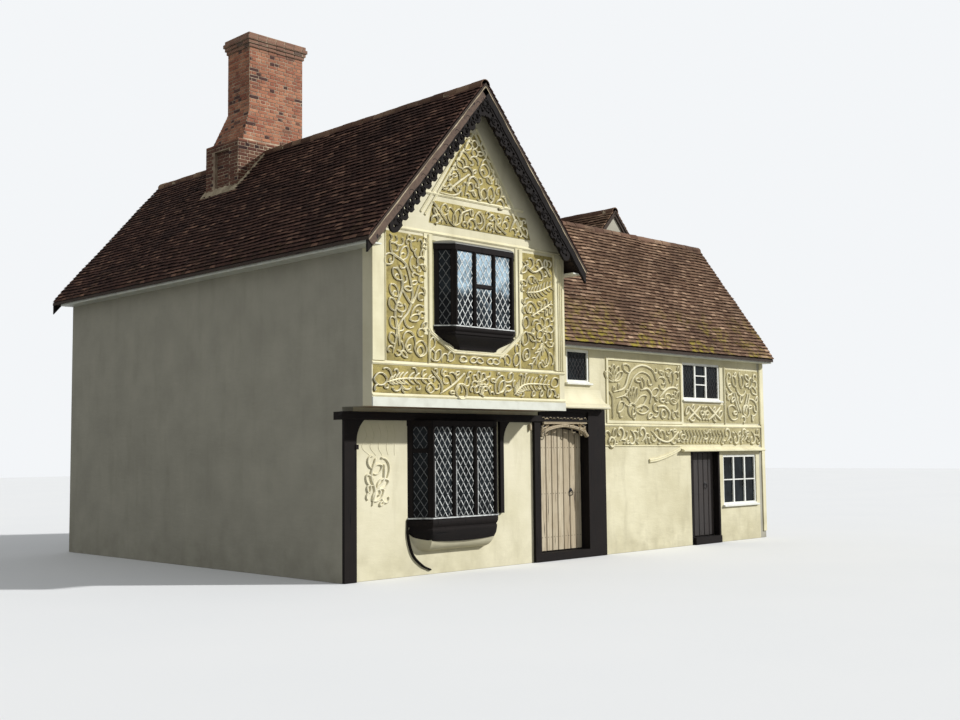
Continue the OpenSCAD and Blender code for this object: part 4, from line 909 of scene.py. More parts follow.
@dataclass
class BrickFace:
    """Courses of bricks over one face of the stack, in English bond.

    Attributes:
        corner: Point where across and height are zero.
        across: Direction along the face.
        rise: Direction up the face.
        knots: Rows of (height, left end, right end); the ends run straight between rows.
        hole: Area without bricks, as (left, right, low, high), or None.
    """

    corner: Triple
    across: Array
    rise: Array
    knots: Knots
    seed: int
    hole: tuple[float, float, float, float] | None = None
    course: float = 0.0715
    joint: float = 0.011
    proud: float = 0.006

    def add(self, bricks: Gathered) -> None:
        """Adds the face's bricks: headers and stretchers by turns, cut at the face's ends.

        Args:
            bricks: Where the bricks are gathered.
        """
        rng = np.random.default_rng(self.seed)
        corner, knots, out = np.array(self.corner, float), np.array(self.knots, float), np.cross(self.across, self.rise)
        bottom, top = knots[0, 0], knots[-1, 0]
        rows = max(1, round((top - bottom) / self.course))
        course = (top - bottom) / rows
        for row in range(rows):
            low, high = bottom + row * course + self.joint / 2, bottom + (row + 1) * course - self.joint / 2
            half = (low + high) / 2
            left, right = (float(np.interp(half, knots[:, 0], knots[:, k])) for k in (1, 2))
            size = 0.112 if row % 2 else 0.224
            count = int((right - left) / size) + 2
            edge = left + (np.arange(count + 1) - (0.5 if row % 2 else 0.0)) * size
            start, end = np.clip(edge[:-1], left, right), np.clip(edge[1:], left, right)
            keep = end - start > 0.03
            if self.hole is not None and self.hole[2] < half < self.hole[3]:
                middle = (start + end) / 2
                keep &= (middle < self.hole[0]) | (middle > self.hole[1])
            start, end = start[keep] + self.joint / 2, end[keep] - self.joint / 2
            stand = self.proud * (0.5 + rng.random(len(start)))
            worn = 0.004 + 0.004 * rng.random(len(start))
            flat = np.zeros((len(start), 3, 4, 3))
            layers = [(-0.01 + 0 * stand, 0 * worn), (stand - worn, 0 * worn), (stand, worn)]
            for ring, (depth, inset) in enumerate(layers):
                flat[:, ring, [0, 3], 0] = (start + inset)[:, None]
                flat[:, ring, [1, 2], 0] = (end - inset)[:, None]
                flat[:, ring, :2, 1] = (low + inset)[:, None]
                flat[:, ring, 2:, 1] = (high - inset)[:, None]
                flat[:, ring, :, 2] = depth[:, None]
            flat[..., 1] += rng.normal(0, 0.0012, (len(start), 1, 1))
            rings = corner + flat[..., :1] * self.across + flat[..., 1:2] * self.rise + flat[..., 2:] * out
            bricks.tubes(rings, rng.random(len(start)))


# --- raised plaster ornament


def curl(start: Array, heading: Array, length: Array, turn: Array, late: Array | float = 2.0, steps: int = 18) -> Array:
    """Curves that bend more and more towards their tip, as a tendril does.

    The heading at a share t of the length is the first heading plus turn times t to the
    power of late, and the points are the running sum of steps along that heading.

    Args:
        start: First points, shape (n, 2).
        heading: First headings in degrees.
        length: Lengths.
        turn: Whole turns in degrees, anticlockwise.
        late: How late the curve bends; 1 is a circle.
        steps: Points on each curve.

    Returns:
        Points of shape (n, steps, 2).
    """
    start = np.atleast_2d(start).astype(float)
    given = (np.asarray(v, float).reshape(-1) for v in (heading, length, turn, late))
    heading, length, turn, late = (np.broadcast_to(v, (len(start),)) for v in given)
    share = (np.arange(steps - 1) + 0.5) / (steps - 1)
    angle = np.radians(heading[:, None] + turn[:, None] * share[None] ** late[:, None])
    step = (length / (steps - 1))[:, None, None] * np.stack([np.cos(angle), np.sin(angle)], -1)
    return np.concatenate([start[:, None], start[:, None] + np.cumsum(step, 1)], 1)


def smooth_path(points: list[Point], steps: int = 60) -> Array:
    """A soft curve through the points in cubic pieces, shape (1, steps, 2).

    At each point the curve runs along the line between the point's two neighbours.

    Args:
        points: Points that the curve passes.
        steps: Number of points on the curve.

    Returns:
        The curve.
    """
    knots = np.array(points, float)
    knots = np.concatenate([[2 * knots[0] - knots[1]], knots, [2 * knots[-1] - knots[-2]]])
    place = np.linspace(0, len(knots) - 3 - 1e-9, steps)
    index, t = place.astype(int), (place % 1)[:, None]
    a, b, c, d = (knots[index + k] for k in range(4))
    curve = 0.5 * (2 * b + (c - a) * t + (2 * a - 5 * b + 4 * c - d) * t**2 + (3 * b - a - 3 * c + d) * t**3)
    return curve[None]


def leaf_loops(base: Array, heading: Array, length: Array, fat: Array | float = 0.5,
               bend: Array | float = 0.0) -> Array:
    """Outlines of pointed leaves that leave their foot by one edge and come back by the other.

    At an angle a from nothing to a whole turn, a point lies along the leaf by a blend of one
    minus the cosine of a, which is round, and of a straight rise and fall, which is pointed;
    beside it by half the breadth times the sine of a. The leaf's line bends to one side with
    the square of the place along it.

    Args:
        base: Feet of the leaves, shape (n, 2).
        heading: Directions in degrees.
        length: Lengths.
        fat: Breadth of each leaf as a share of its length.
        bend: How far each tip lies beside its line, in lengths.

    Returns:
        Closed outlines of shape (n, 18, 2).
    """
    base = np.atleast_2d(base).astype(float)
    heading, length, fat, bend = (
        np.broadcast_to(np.asarray(v, float).reshape(-1), (len(base),))[:, None] for v in (heading, length, fat, bend)
    )
    turn, angle = np.linspace(0, 2 * np.pi, 18), np.radians(heading)
    along = 0.45 * (1 - np.cos(turn)) / 2 + 0.55 * (1 - np.abs(turn / np.pi - 1))
    beside = 0.6 * length * fat * np.sin(turn) + length * bend * along**2
    along = length * along
    x = along * np.cos(angle) - beside * np.sin(angle)
    return base[:, None] + np.stack([x, along * np.sin(angle) + beside * np.cos(angle)], -1)


@dataclass
class Relief:
    """Raised strands of plaster on a wall that faces the street.

    Attributes:
        plane: Y of the wall's face.
        width: Usual width of a strand.
        rise: Usual height of a strand over the wall.
        painted_shadows: Where the dark strips of painted shadow beside the strands' feet are gathered, if they are
            made.
    """

    plane: float
    width: float = 0.034
    rise: float = 0.026
    parts: Gathered = field(default_factory=Gathered)
    painted_shadows: Gathered | None = None

    def strands(self, paths: Array, widths: Array | float = 1.0, ends: float = 0.25, bud: float = 0.0) -> None:
        """Adds strands with a half round back.

        A strand's section is half an ellipse. Its width shrinks towards both ends, and swells
        at the tip where the strand ends in a bud.

        Args:
            paths: Points in X and Z, shape (n, steps, 2).
            widths: Width of each strand in usual widths.
            ends: Width at the very ends in strand widths.
            bud: Extra width of the tip.
        """
        count, steps, _ = paths.shape
        share = np.linspace(0, 1, steps)
        shape = ends + (1 - ends) * np.minimum(1, 6 * share) * np.minimum(1, 3.5 * (1 - share)) ** 0.6
        shape = shape + bud * np.exp(-(((share - 0.965) / 0.035) ** 2))
        wide = self.width * np.broadcast_to(np.asarray(widths, float).reshape(-1, 1), (count, 1)) * shape[None]
        run = np.gradient(paths, axis=1)
        run /= np.maximum(np.linalg.norm(run, axis=2, keepdims=True), 1e-9)
        side = np.stack([-run[..., 1], run[..., 0]], -1)
        section = np.array([[-1.0, -0.25], [-0.72, 0.62], [0.0, 1.0], [0.72, 0.62], [1.0, -0.25]])
        flat = paths[:, :, None] + 0.5 * wide[..., None, None] * section[None, None, :, :1] * side[:, :, None]
        high = self.rise * np.minimum(1, 0.25 + 0.75 * wide / self.width)
        out = high[..., None] * section[None, None, :, 1]
        tone = np.linspace(0, 1, count) * 0.999 % 0.37 / 0.37 if count > 1 else 0.5
        self.parts.tubes(joined(flat[..., 0], self.plane - out, flat[..., 1]), tone)
        # painted shadow: a flat dark strip a little down and to the left of each strand, where its shadow falls on the
        # ground
        if self.painted_shadows is not None:
            shadow_section = np.array([[-1.0, -0.008], [-0.7, 0.007], [0.7, 0.007], [1.0, -0.008]])
            flat = paths[:, :, None] + wide[..., None, None] * (0.8 * shadow_section[:, :1] * side[:, :, None] + [-0.22, -0.26])
            self.painted_shadows.tubes(joined(flat[..., 0], self.plane - shadow_section[:, 1], flat[..., 1]))

    def curls(self, table: list[tuple], mirror: float | None = None, bud: float = 0.9) -> None:
        """Adds curls from rows of (x, z, heading, length, turn, late, width).

        Args:
            table: One row for each curl.
            mirror: X of a mirror line; the curls are made on both sides of it.
            bud: Extra width of the tips.
        """
        rows = np.array(table, float)
        if mirror is not None:
            other = rows.copy()
            other[:, 0] = 2 * mirror - rows[:, 0]
            other[:, 2], other[:, 4] = 180 - rows[:, 2], -rows[:, 4]
            rows = np.concatenate([rows, other])
        paths = curl(rows[:, :2], rows[:, 2], rows[:, 3], rows[:, 4], rows[:, 5])
        self.strands(paths, rows[:, 6], 0.35, bud)

    def stem(self, points: list[Point], wide: float = 1.15) -> None:
        """Adds one strand through the points."""
        self.strands(smooth_path(points, 10 * len(points)), wide, 0.5, 0.3)

    def leaves(self, table: list[tuple], wide: float = 0.85) -> None:
        """Adds outlined leaves from rows of (x, z, heading, length, breadth over length)."""
        rows = np.array(table, float)
        self.strands(leaf_loops(rows[:, :2], rows[:, 2], rows[:, 3], rows[:, 4]), wide, 0.8)

    def feather(self, points: list[Point], barbs: int, reach: float, lean: float = 55.0) -> None:
        """Adds a rib with slanting barbs on both sides, as on a fern.

        Args:
            points: Points of the rib.
            barbs: Number of barbs on each side.
            reach: Length of the longest barb.
            lean: Angle of the barbs to the rib in degrees.
        """
        rib = smooth_path(points, 40)
        self.strands(rib, 1.0, 0.5)
        index = (np.linspace(0.06, 0.96, barbs) * 39).astype(int)
        run = np.degrees(np.arctan2(*(np.gradient(rib[0], axis=0)[index].T[::-1])))
        size = reach * np.sin(np.pi * np.linspace(0.16, 0.86, barbs)) ** 0.5
        for sign in (-1, 1):
            self.strands(curl(rib[0, index], run + sign * lean, size, -sign * 38, 1.0, 8), 0.85, 0.6)

    def flower(self, centre: Point, radius: float, petals: int, turn: float = 0.0) -> None:
        """Adds outlined petals round a point and a round boss in their middle.

        Args:
            centre: The point.
            radius: Distance to the tips of the petals.
            petals: Number of petals.
            turn: Direction of the first petal in degrees.
        """
        x, z = centre
        angles = np.radians(turn + np.arange(petals) * 360 / petals)
        foot = 0.26 * radius
        self.leaves([(x + foot * math.cos(a), z + foot * math.sin(a), math.degrees(a), 0.74 * radius,
                      0.62) for a in angles])
        self.strands(curl([[x, z - 0.14 * radius]], [0], [0.88 * radius], [360], [1], 14), 1.0, 1.0)

    def band(self, points: list[Point], width: float, rise: float) -> None:
        """Adds a flat moulded band along straight runs, with square mitres.

        Args:
            points: Corners of the band's middle line.
            width: Width of the band.
            rise: Height of its section.
        """
        path = np.array(points, float)
        run = np.diff(path, axis=0)
        run /= np.linalg.norm(run, axis=1, keepdims=True)
        side = np.stack([-run[:, 1], run[:, 0]], -1)
        corners = (side[:-1] + side[1:]) / (1 + (side[:-1] * side[1:]).sum(1, keepdims=True))
        mitre = np.concatenate([side[:1], corners, side[-1:]])
        half = [(0.5, -0.2), (0.5, 0.55), (0.3, 1.0), (0.12, 1.0)]
        section = np.array([(-u, v) for u, v in half] + [(0.0, 0.7)] + half[::-1])
        flat = path[:, None] + width * section[None, :, :1] * mitre[:, None]
        self.parts.tubes(joined(flat[..., 0], self.plane - rise * section[:, 1], flat[..., 1])[None])


@dataclass
class Panel(Relief):
    """A panel that fills itself: curls and leaves grow from the stems that are laid in it.

    A grid of small cells remembers which places lie within reach of a strand, or outside of
    the panel. A shoot starts on a strand and turns away from it, and it is kept only where
    its cells are free, so that strands lie close together and never cross by chance.

    Attributes:
        knots: Rows of (z, left, right) of the panel from its foot to its top.
        reach: Clear distance between the middles of two strands.
    """

    knots: Knots = field(default_factory=list)
    reach: float = 0.06
    seed: int = 1
    cell: float = 0.01

    def __post_init__(self) -> None:
        """Makes the grid, with the cells along the edge and outside of it taken."""
        rows = np.array(self.knots, float)
        self._low = np.array([rows[:, 1].min(), rows[0, 0]])
        size = np.ceil((np.array([rows[:, 2].max(), rows[-1, 0]]) - self._low) / self.cell).astype(int)
        x, z = (self._low[k] + self.cell * (np.arange(size[k]) + 0.5) for k in (0, 1))
        left, right = (np.interp(z, rows[:, 0], rows[:, k]) for k in (1, 2))
        gap = 0.4 * self.reach
        self._taken = (x[:, None] < left + gap) | (x[:, None] > right - gap)
        self._taken |= (z < rows[0, 0] + gap) | (z > rows[-1, 0] - gap)
        span = np.arange(-math.ceil(self.reach / self.cell), math.ceil(self.reach / self.cell) + 1)
        disc = np.stack(np.meshgrid(span, span), -1).reshape(-1, 2)
        self._disc = disc[np.hypot(*disc.T) * self.cell <= self.reach]
        self._roots: list[Array] = []
        self._rng = np.random.default_rng(self.seed)

    def _cells(self, points: Array) -> Array:
        """Numbers of the cells that hold the points."""
        return np.floor((points - self._low) / self.cell).astype(int)

    def strands(self, paths: Array, widths: Array | float = 1.0, ends: float = 0.25, bud: float = 0.0) -> None:
        """Adds strands as any relief does, takes their cells and lets new shoots root on them."""
        super().strands(paths, widths, ends, bud)
        for path in paths:
            spots = (self._cells(path)[:, None] + self._disc).reshape(-1, 2)
            spots = np.clip(spots, 0, np.array(self._taken.shape) - 1)
            self._taken[spots[:, 0], spots[:, 1]] = True
            run = np.gradient(path, axis=0)
            self._roots.append(np.column_stack([path, np.degrees(np.arctan2(run[:, 1], run[:, 0]))]))

    def free(self, points: Array) -> bool:
        """Tells whether every point lies in a free cell of the panel.

        Args:
            points: The points.

        Returns:
            True where all of them do.
        """
        spots = self._cells(points)
        if (spots < 0).any() or (spots >= self._taken.shape).any():
            return False
        return not self._taken[spots[:, 0], spots[:, 1]].any()

    def grow(self, largest: float, smallest: float, leafy: float = 0.5, wide: float = 0.9, tries: int = 260) -> None:
        """Grows shoots in ever smaller sizes, until little room is left.

        Args:
            largest: Length of the first shoots.
            smallest: Length of the last ones.
            leafy: Share of shoots that are leaves.
            wide: Width of the shoots in usual widths.
            tries: Number of places that are tried for each size.
        """
        rng = self._rng
        for size in np.geomspace(largest, smallest, 13):
            roots = np.concatenate(self._roots)
            root = roots[rng.integers(len(roots), size=tries)]
            side = rng.choice([-1.0, 1.0], tries)
            heading = root[:, 2] + side * rng.uniform(25, 85, tries)
            length = size * rng.uniform(0.85, 1.15, tries)
            turn = side * rng.choice([1.0, 1.0, -1.0], tries) * rng.uniform(110, 235, tries)
            curls = curl(root[:, :2], heading, length, turn, 1.5)
            loops = leaf_loops(root[:, :2], heading, 0.5 * length, rng.uniform(0.4, 0.62, tries), 0.3 * side)
            for index, leaf in enumerate((rng.random(tries) < leafy) & (size > 0.21)):
                path = loops[index] if leaf else curls[index]
                away = np.linalg.norm(path - path[0], axis=1) > 1.25 * self.reach
                if away.mean() > 0.3 and self.free(path[away]):
                    self.strands(path[None], wide, 0.8 if leaf else 0.4, 0.0 if leaf else 0.8)


def ground_plate(plane: float, knots: Knots, seed: float, thick: float = 0.006) -> Array:
    """A thin coat of plaster with an uneven face, between two edges.

    The edges run straight between knots, and the face stands out of the wall by thick plus a
    soft swell.

    Args:
        plane: Y of the wall's face.
        knots: Rows of (z, left, right) from the foot to the top.
        seed: Seed of the swell.
        thick: Least thickness.

    Returns:
        One tube of shape (1, rows, points, 3).
    """
    rows = np.array(knots, float)
    z = np.linspace(rows[0, 0], rows[-1, 0], 24)
    left, right = (np.interp(z, rows[:, 0], rows[:, k]) for k in (1, 2))
    share = np.linspace(0, 1, 20)
    x = left[:, None] + (right - left)[:, None] * share
    place = np.stack([x, np.broadcast_to(z[:, None], x.shape)], -1)
    edge = np.minimum(1, np.minimum(share, 1 - share) / 0.05)
    face = plane - thick * edge - 0.004 * swell(place, seed, 2.0) * edge
    front = joined(x, face, z[:, None])
    back = front[:, [-1, 0]].copy()
    back[..., 1] = plane + 0.003
    return np.concatenate([front, back], 1)[None]


# --- the gable


@dataclass
class GableFront:
    """Pargeting of the jettied gable: grounds, strands and bands."""

    plane: float = 0.0
    width: float = 0.032
    painted_shadows: Gathered = field(default_factory=Gathered)
    tall: tuple = ((3.46, 0.28, 1.17), (5.50, 0.28, 1.17))
    low_band: tuple = ((2.95, 0.02, 4.37), (3.385, 0.02, 4.37))
    high_band: tuple = ((5.74, 1.20, 3.64), (6.12, 1.30, 3.52))
    peak_edge: tuple = ((6.23, 1.36, 3.14), (7.40, 2.12, 2.38))

    def panel(self, knots: tuple, seed: int, parts: Gathered, reach: float = 0.047) -> Panel:
        """Makes an empty panel of the gable."""
        return Panel(self.plane - 0.005, self.width, 0.038, parts, self.painted_shadows, list(knots), reach, seed)

    def grounds(self) -> None:
        """Makes the ochre grounds between the mouldings, and the strips of painted shade beside them."""
        parts = Gathered()
        other = [(z, PLAN.wing_width - right, PLAN.wing_width - left) for z, left, right in self.tall]
        under = [(3.46, 1.17, 2.26), (3.61, 1.17, 2.26), (3.64, 1.17, 1.74), (3.94, 1.17, 1.26)]
        beside = [(z, PLAN.wing_width - right, PLAN.wing_width - left) for z, left, right in under]
        for seed, knots in enumerate([self.tall, other, under, beside, self.low_band, self.high_band, self.peak_edge]):
            parts.tubes(ground_plate(self.plane, list(knots), seed * 1.9))
        parts.build("gable_grounds", Finishes.ochre_ground, "ochre_render")
        # painted shade: plain strips of greyer olive beside the left panel and the upper window, where shadow falls
        strips = Gathered()
        for foot, left, right in ((3.46, 0.09, 0.235), (3.99, 1.21, 1.36), (3.99, 3.14, 3.29)):
            strips.tubes(ground_plate(self.plane, [(foot, left, right), (5.46, left, right)], left, 0.004))
        strips.build("gable_painted_shade_strips", Finishes.painted_shade_ground, "ochre_render")

    def left_panel(self, parts: Gathered) -> None:
        """Lays two crossing stems, leaves up the left edge and spirals up the right one.

        Args:
            parts: Where the strands are gathered.
        """
        panel = self.panel(self.tall, 11, parts)
        panel.stem([(0.36, 5.34), (0.42, 5.15), (0.70, 4.99), (0.82, 4.63), (0.82, 4.45), (0.73, 4.24), (0.55, 4.02),
                    (0.56, 3.70)])
        panel.stem([(0.42, 3.58), (0.50, 3.90), (0.47, 4.25), (0.61, 4.60), (0.60, 4.80), (0.50, 4.95)])
        panel.stem([(0.61, 4.60), (0.79, 4.39), (0.88, 4.48), (0.97, 4.69)])
        panel.leaves([(0.46, 3.72, 118, 0.20, 0.6), (0.50, 3.96, 125, 0.22, 0.55), (0.47, 4.24, 118, 0.23, 0.55),
                      (0.52, 4.47, 128, 0.24, 0.55), (0.60, 4.74, 135, 0.25, 0.5), (0.44, 5.12, 215, 0.24, 0.6),
                      (0.60, 5.06, 62, 0.26, 0.5)])
        spirals = ((5.18, 0.36), (4.88, 0.30), (4.60, 0.34), (4.30, 0.28), (4.02, 0.36))
        panel.curls([(1.10, z - 0.07, 128, size, 280, 1.3, 0.9) for z, size in spirals])
        panel.leaves([(0.98, 3.54, 80, 0.27, 0.8), (0.98, 3.56, 80, 0.16, 0.7)])
        panel.grow(0.5, 0.13, 0.6)

    def right_panel(self, parts: Gathered) -> None:
        """Lays comb leaves, a barbed branch, a flower and great ovals.

        Args:
            parts: Where the strands are gathered.
        """
        panel = self.panel(((3.46, 3.33, 4.22), (5.46, 3.33, 4.22)), 23, parts)
        panel.feather([(3.50, 4.80), (3.80, 4.84), (4.16, 4.98)], 8, 0.15, 70)
        panel.feather([(3.62, 4.39), (3.90, 4.53), (4.15, 4.66)], 6, 0.10)
        panel.flower((3.97, 4.17), 0.24, 7, 10)
        panel.feather([(3.91, 3.94), (3.86, 3.81), (3.60, 3.52)], 6, 0.14)
        panel.leaves([(3.42, 3.60, 62, 0.24, 0.6), (3.42, 3.86, 75, 0.26, 0.55), (3.46, 4.16, 80, 0.22, 0.6)])
        panel.stem([(3.42, 5.34), (3.70, 5.18), (3.98, 5.30), (4.15, 5.14)])
        panel.grow(0.5, 0.13, 0.55)

    def frieze(self, parts: Gathered) -> None:
        """Fills the band over the jetty: ferns at the ends, crossing stems and a flower.

        Args:
            parts: Where the strands are gathered.
        """
        panel = self.panel(self.low_band, 5, parts, 0.042)
        panel.leaves([(0.03, 3.16, 0, 0.27, 0.6), (1.20, 2.97, 88, 0.16, 0.9), (4.12, 3.19, 28, 0.23, 0.6),
                      (2.72, 3.00, 62, 0.36, 0.5), (2.80, 3.02, 62, 0.24, 0.5)])
        panel.feather([(0.30, 3.12), (0.61, 3.18), (1.21, 3.20)], 9, 0.17)
        panel.stem([(1.24, 3.34), (1.45, 3.14), (1.45, 2.99)])
        panel.stem([(1.42, 2.97), (1.70, 3.12), (1.97, 3.32)])
        panel.curls([(1.74, 2.98, 88, 0.95, -420, 1.15, 1.1), (2.58, 2.98, 100, 0.45, 250, 1.4, 1.0)])
        panel.flower((2.33, 3.17), 0.20, 8, 10)
        panel.feather([(3.16, 3.00), (3.44, 3.18), (4.08, 3.20)], 12, 0.16, 72)
        panel.grow(0.34, 0.11, 0.5)

    def under_window(self, parts: Gathered) -> None:
        """Lays flat ovals and leaves under the moulded band of the upper window.

        Args:
            parts: Where the strands are gathered.
        """
        relief = Relief(self.plane - 0.005, self.width, 0.03, parts, self.painted_shadows)
        ovals = ((1.86, 12), (2.04, 165), (2.10, 10), (2.42, 170), (2.50, 8), (2.80, 172))
        relief.leaves([(x, 3.53, turn, 0.17, 0.45) for x, turn in ovals])
        relief.leaves([(1.62, 3.50, 60, 0.20, 0.6), (1.30, 3.49, 110, 0.20, 0.5), (1.32, 3.49, 60, 0.22, 0.5),
                       (1.24, 3.68, 80, 0.2, 0.5), (3.04, 3.50, 110, 0.19, 0.6), (3.20, 3.49, 75, 0.24, 0.5),
                       (3.26, 3.70, 95, 0.18, 0.5)])
        relief.curls([(1.46, 3.49, 100, 0.34, -250, 1.4, 0.9), (2.94, 3.49, 70, 0.34, 250, 1.4, 0.9)])

    def upper_band(self, parts: Gathered) -> None:
        """Fills the band over the window: loops and hearts at the left, long scrolls at the right.

        Args:
            parts: Where the strands are gathered.
        """
        panel = self.panel(self.high_band, 7, parts, 0.045)
        panel.stem([(1.28, 6.10), (1.44, 5.97), (1.62, 5.78)])
        panel.stem([(1.88, 5.80), (1.93, 5.98), (2.14, 6.08)])
        panel.leaves([(1.53, 5.90, 78, 0.20, 0.7), (1.775, 5.76, 112, 0.32, 0.46), (1.775, 5.76, 68, 0.32, 0.46),
                      (2.36, 5.76, 90, 0.32, 0.6)])
        panel.curls([(1.25, 5.77, 88, 0.34, -270, 1.3, 1.1), (2.06, 5.77, 88, 0.46, -250, 1.4, 1.1),
                     (2.52, 5.78, 88, 0.24, -130, 1.4, 1.0), (2.90, 5.90, 80, 0.34, -290, 1.3, 1.0),
                     (1.40, 5.77, 30, 0.22, 200, 1.4, 1.0)])
        panel.stem([(2.54, 5.98), (2.67, 6.06), (2.80, 5.90), (3.01, 5.77)])
        panel.stem([(3.10, 5.83), (3.25, 6.05), (3.40, 5.84), (3.54, 5.77)])
        panel.grow(0.3, 0.11, 0.4)

    def peak(self, parts: Gathered) -> None:
        """Fills the peak: crossed boughs at the left, a scroll, round leaves and a looped top.

        Args:
            parts: Where the strands are gathered.
        """
        panel = self.panel(self.peak_edge, 9, parts)
        panel.stem([(1.62, 6.32), (1.83, 6.48), (2.12, 6.68)], 1.3)
        panel.stem([(1.64, 6.46), (1.74, 6.40), (1.87, 6.31)])
        panel.stem([(1.44, 6.27), (1.72, 6.26), (1.88, 6.33), (1.94, 6.46)])
        panel.stem([(2.02, 6.30), (2.08, 6.50), (2.13, 6.61), (2.23, 6.65), (2.34, 6.56), (2.36, 6.40), (2.42, 6.29)],
                   1.2)
        panel.curls([(2.10, 6.40, -20, 0.36, 290, 1.2, 1.0), (1.60, 6.34, 95, 0.26, -280, 1.3, 1.0),
                     (2.76, 6.27, 65, 0.44, -290, 1.3, 1.1), (2.12, 6.92, 60, 0.34, -170, 1.3, 1.0),
                     (1.96, 6.74, 45, 0.34, -140, 1.3, 1.0)])
        panel.leaves([(2.475, 6.30, 90, 0.19, 0.7), (2.62, 6.26, 85, 0.29, 0.5), (2.47, 6.68, 80, 0.24, 0.8),
                      (2.26, 7.00, 90, 0.14, 0.8), (2.26, 7.14, 90, 0.15, 0.75)])
        panel.grow(0.4, 0.12, 0.5)

    def build(self) -> None:
        """Builds the grounds and all strands of the gable."""
        self.grounds()
        for name, fillers in (("gable_panel_strands", [self.left_panel, self.right_panel]),
                              ("gable_frieze_strands", [self.frieze, self.under_window]),
                              ("gable_peak_strands", [self.upper_band, self.peak])):
            parts = Gathered()
            for fill in fillers:
                fill(parts)
            parts.build(name, Finishes.strand_render, "cream_render", smooth=70)
        # the strips of painted shadow beside the gable's strands
        self.painted_shadows.build("gable_painted_shadows", Finishes.gable_shadow_paint, "ochre_render")
        moulded = Relief(self.plane)
        moulded.band([(1.17, 4.02), (1.22, 3.95), (1.72, 3.665), (2.88, 3.665), (3.30, 3.99), (3.33, 4.06)], 0.075,
                     0.035)
        for points in ([(1.03, 5.90), (2.19, 7.50)], [(2.31, 7.50), (3.47, 5.90)], [(1.12, 5.86), (2.23, 7.40)],
                       [(2.27, 7.40), (3.38, 5.86)]):
            moulded.band(points, 0.045, 0.02)
        for x in (0.262, 1.185, 3.315, 4.24):
            moulded.band([(x, 3.46), (x, 5.54)], 0.03, 0.03)
        for x in (4.33, 4.38, 4.43):
            moulded.band([(x, 3.46), (x, 5.48)], 0.028, 0.036)
        moulded.parts.build("gable_moulded_bands", Finishes.moulding_render, "cream_render")


# --- the canted windows


def lattice(corner: Array, across: Array, out: Array, width: float, height: float, cell: tuple[float, float]) -> Array:
    """Lead strips of a diamond lattice over one light.

    A strip of the first set runs where x over the cell's width plus z over its height is a
    whole number, one of the second set where their difference is; both are cut at the light.

    Args:
        corner: Lower left corner of the light.
        across: Direction to the right along the glass.
        out: Direction out of the glass.
        width: Width of the light.
        height: Height of the light.
        cell: Width and height of a diamond.

    Returns:
        Rings of shape (strips, 2, 4, 3).
    """
    wide, high = cell
    number = np.arange(-int(height / high) - 1, int(width / wide + height / high) + 2) + 0.5
    ends = []
    low = np.maximum(0, high * (number - width / wide))
    top = np.minimum(height, high * number)
    ends.append(np.stack([wide * (number - low / high), low, wide * (number - top / high), top], 1))
    low = np.maximum(0, -number * high)
    top = np.minimum(height, high * (width / wide - number))
    ends.append(np.stack([wide * (number + low / high), low, wide * (number + top / high), top], 1))
    ends = np.concatenate(ends)
    ends = ends[(ends[:, 3] - ends[:, 1]) > 0.012]
    run = ends[:, 2:] - ends[:, :2]
    run /= np.linalg.norm(run, axis=1, keepdims=True)
    side = np.stack([-run[:, 1], run[:, 0]], -1)
    section = np.array([[-0.006, 0.0], [-0.005, 0.006], [0.005, 0.006], [0.006, 0.0]])
    flat = ends.reshape(-1, 2, 1, 2) + section[None, None, :, :1] * side[:, None, None]
    up = np.array([0.0, 0.0, 1.0])
    return corner + flat[..., :1] * across + flat[..., 1:] * up + section[:, 1:] * out


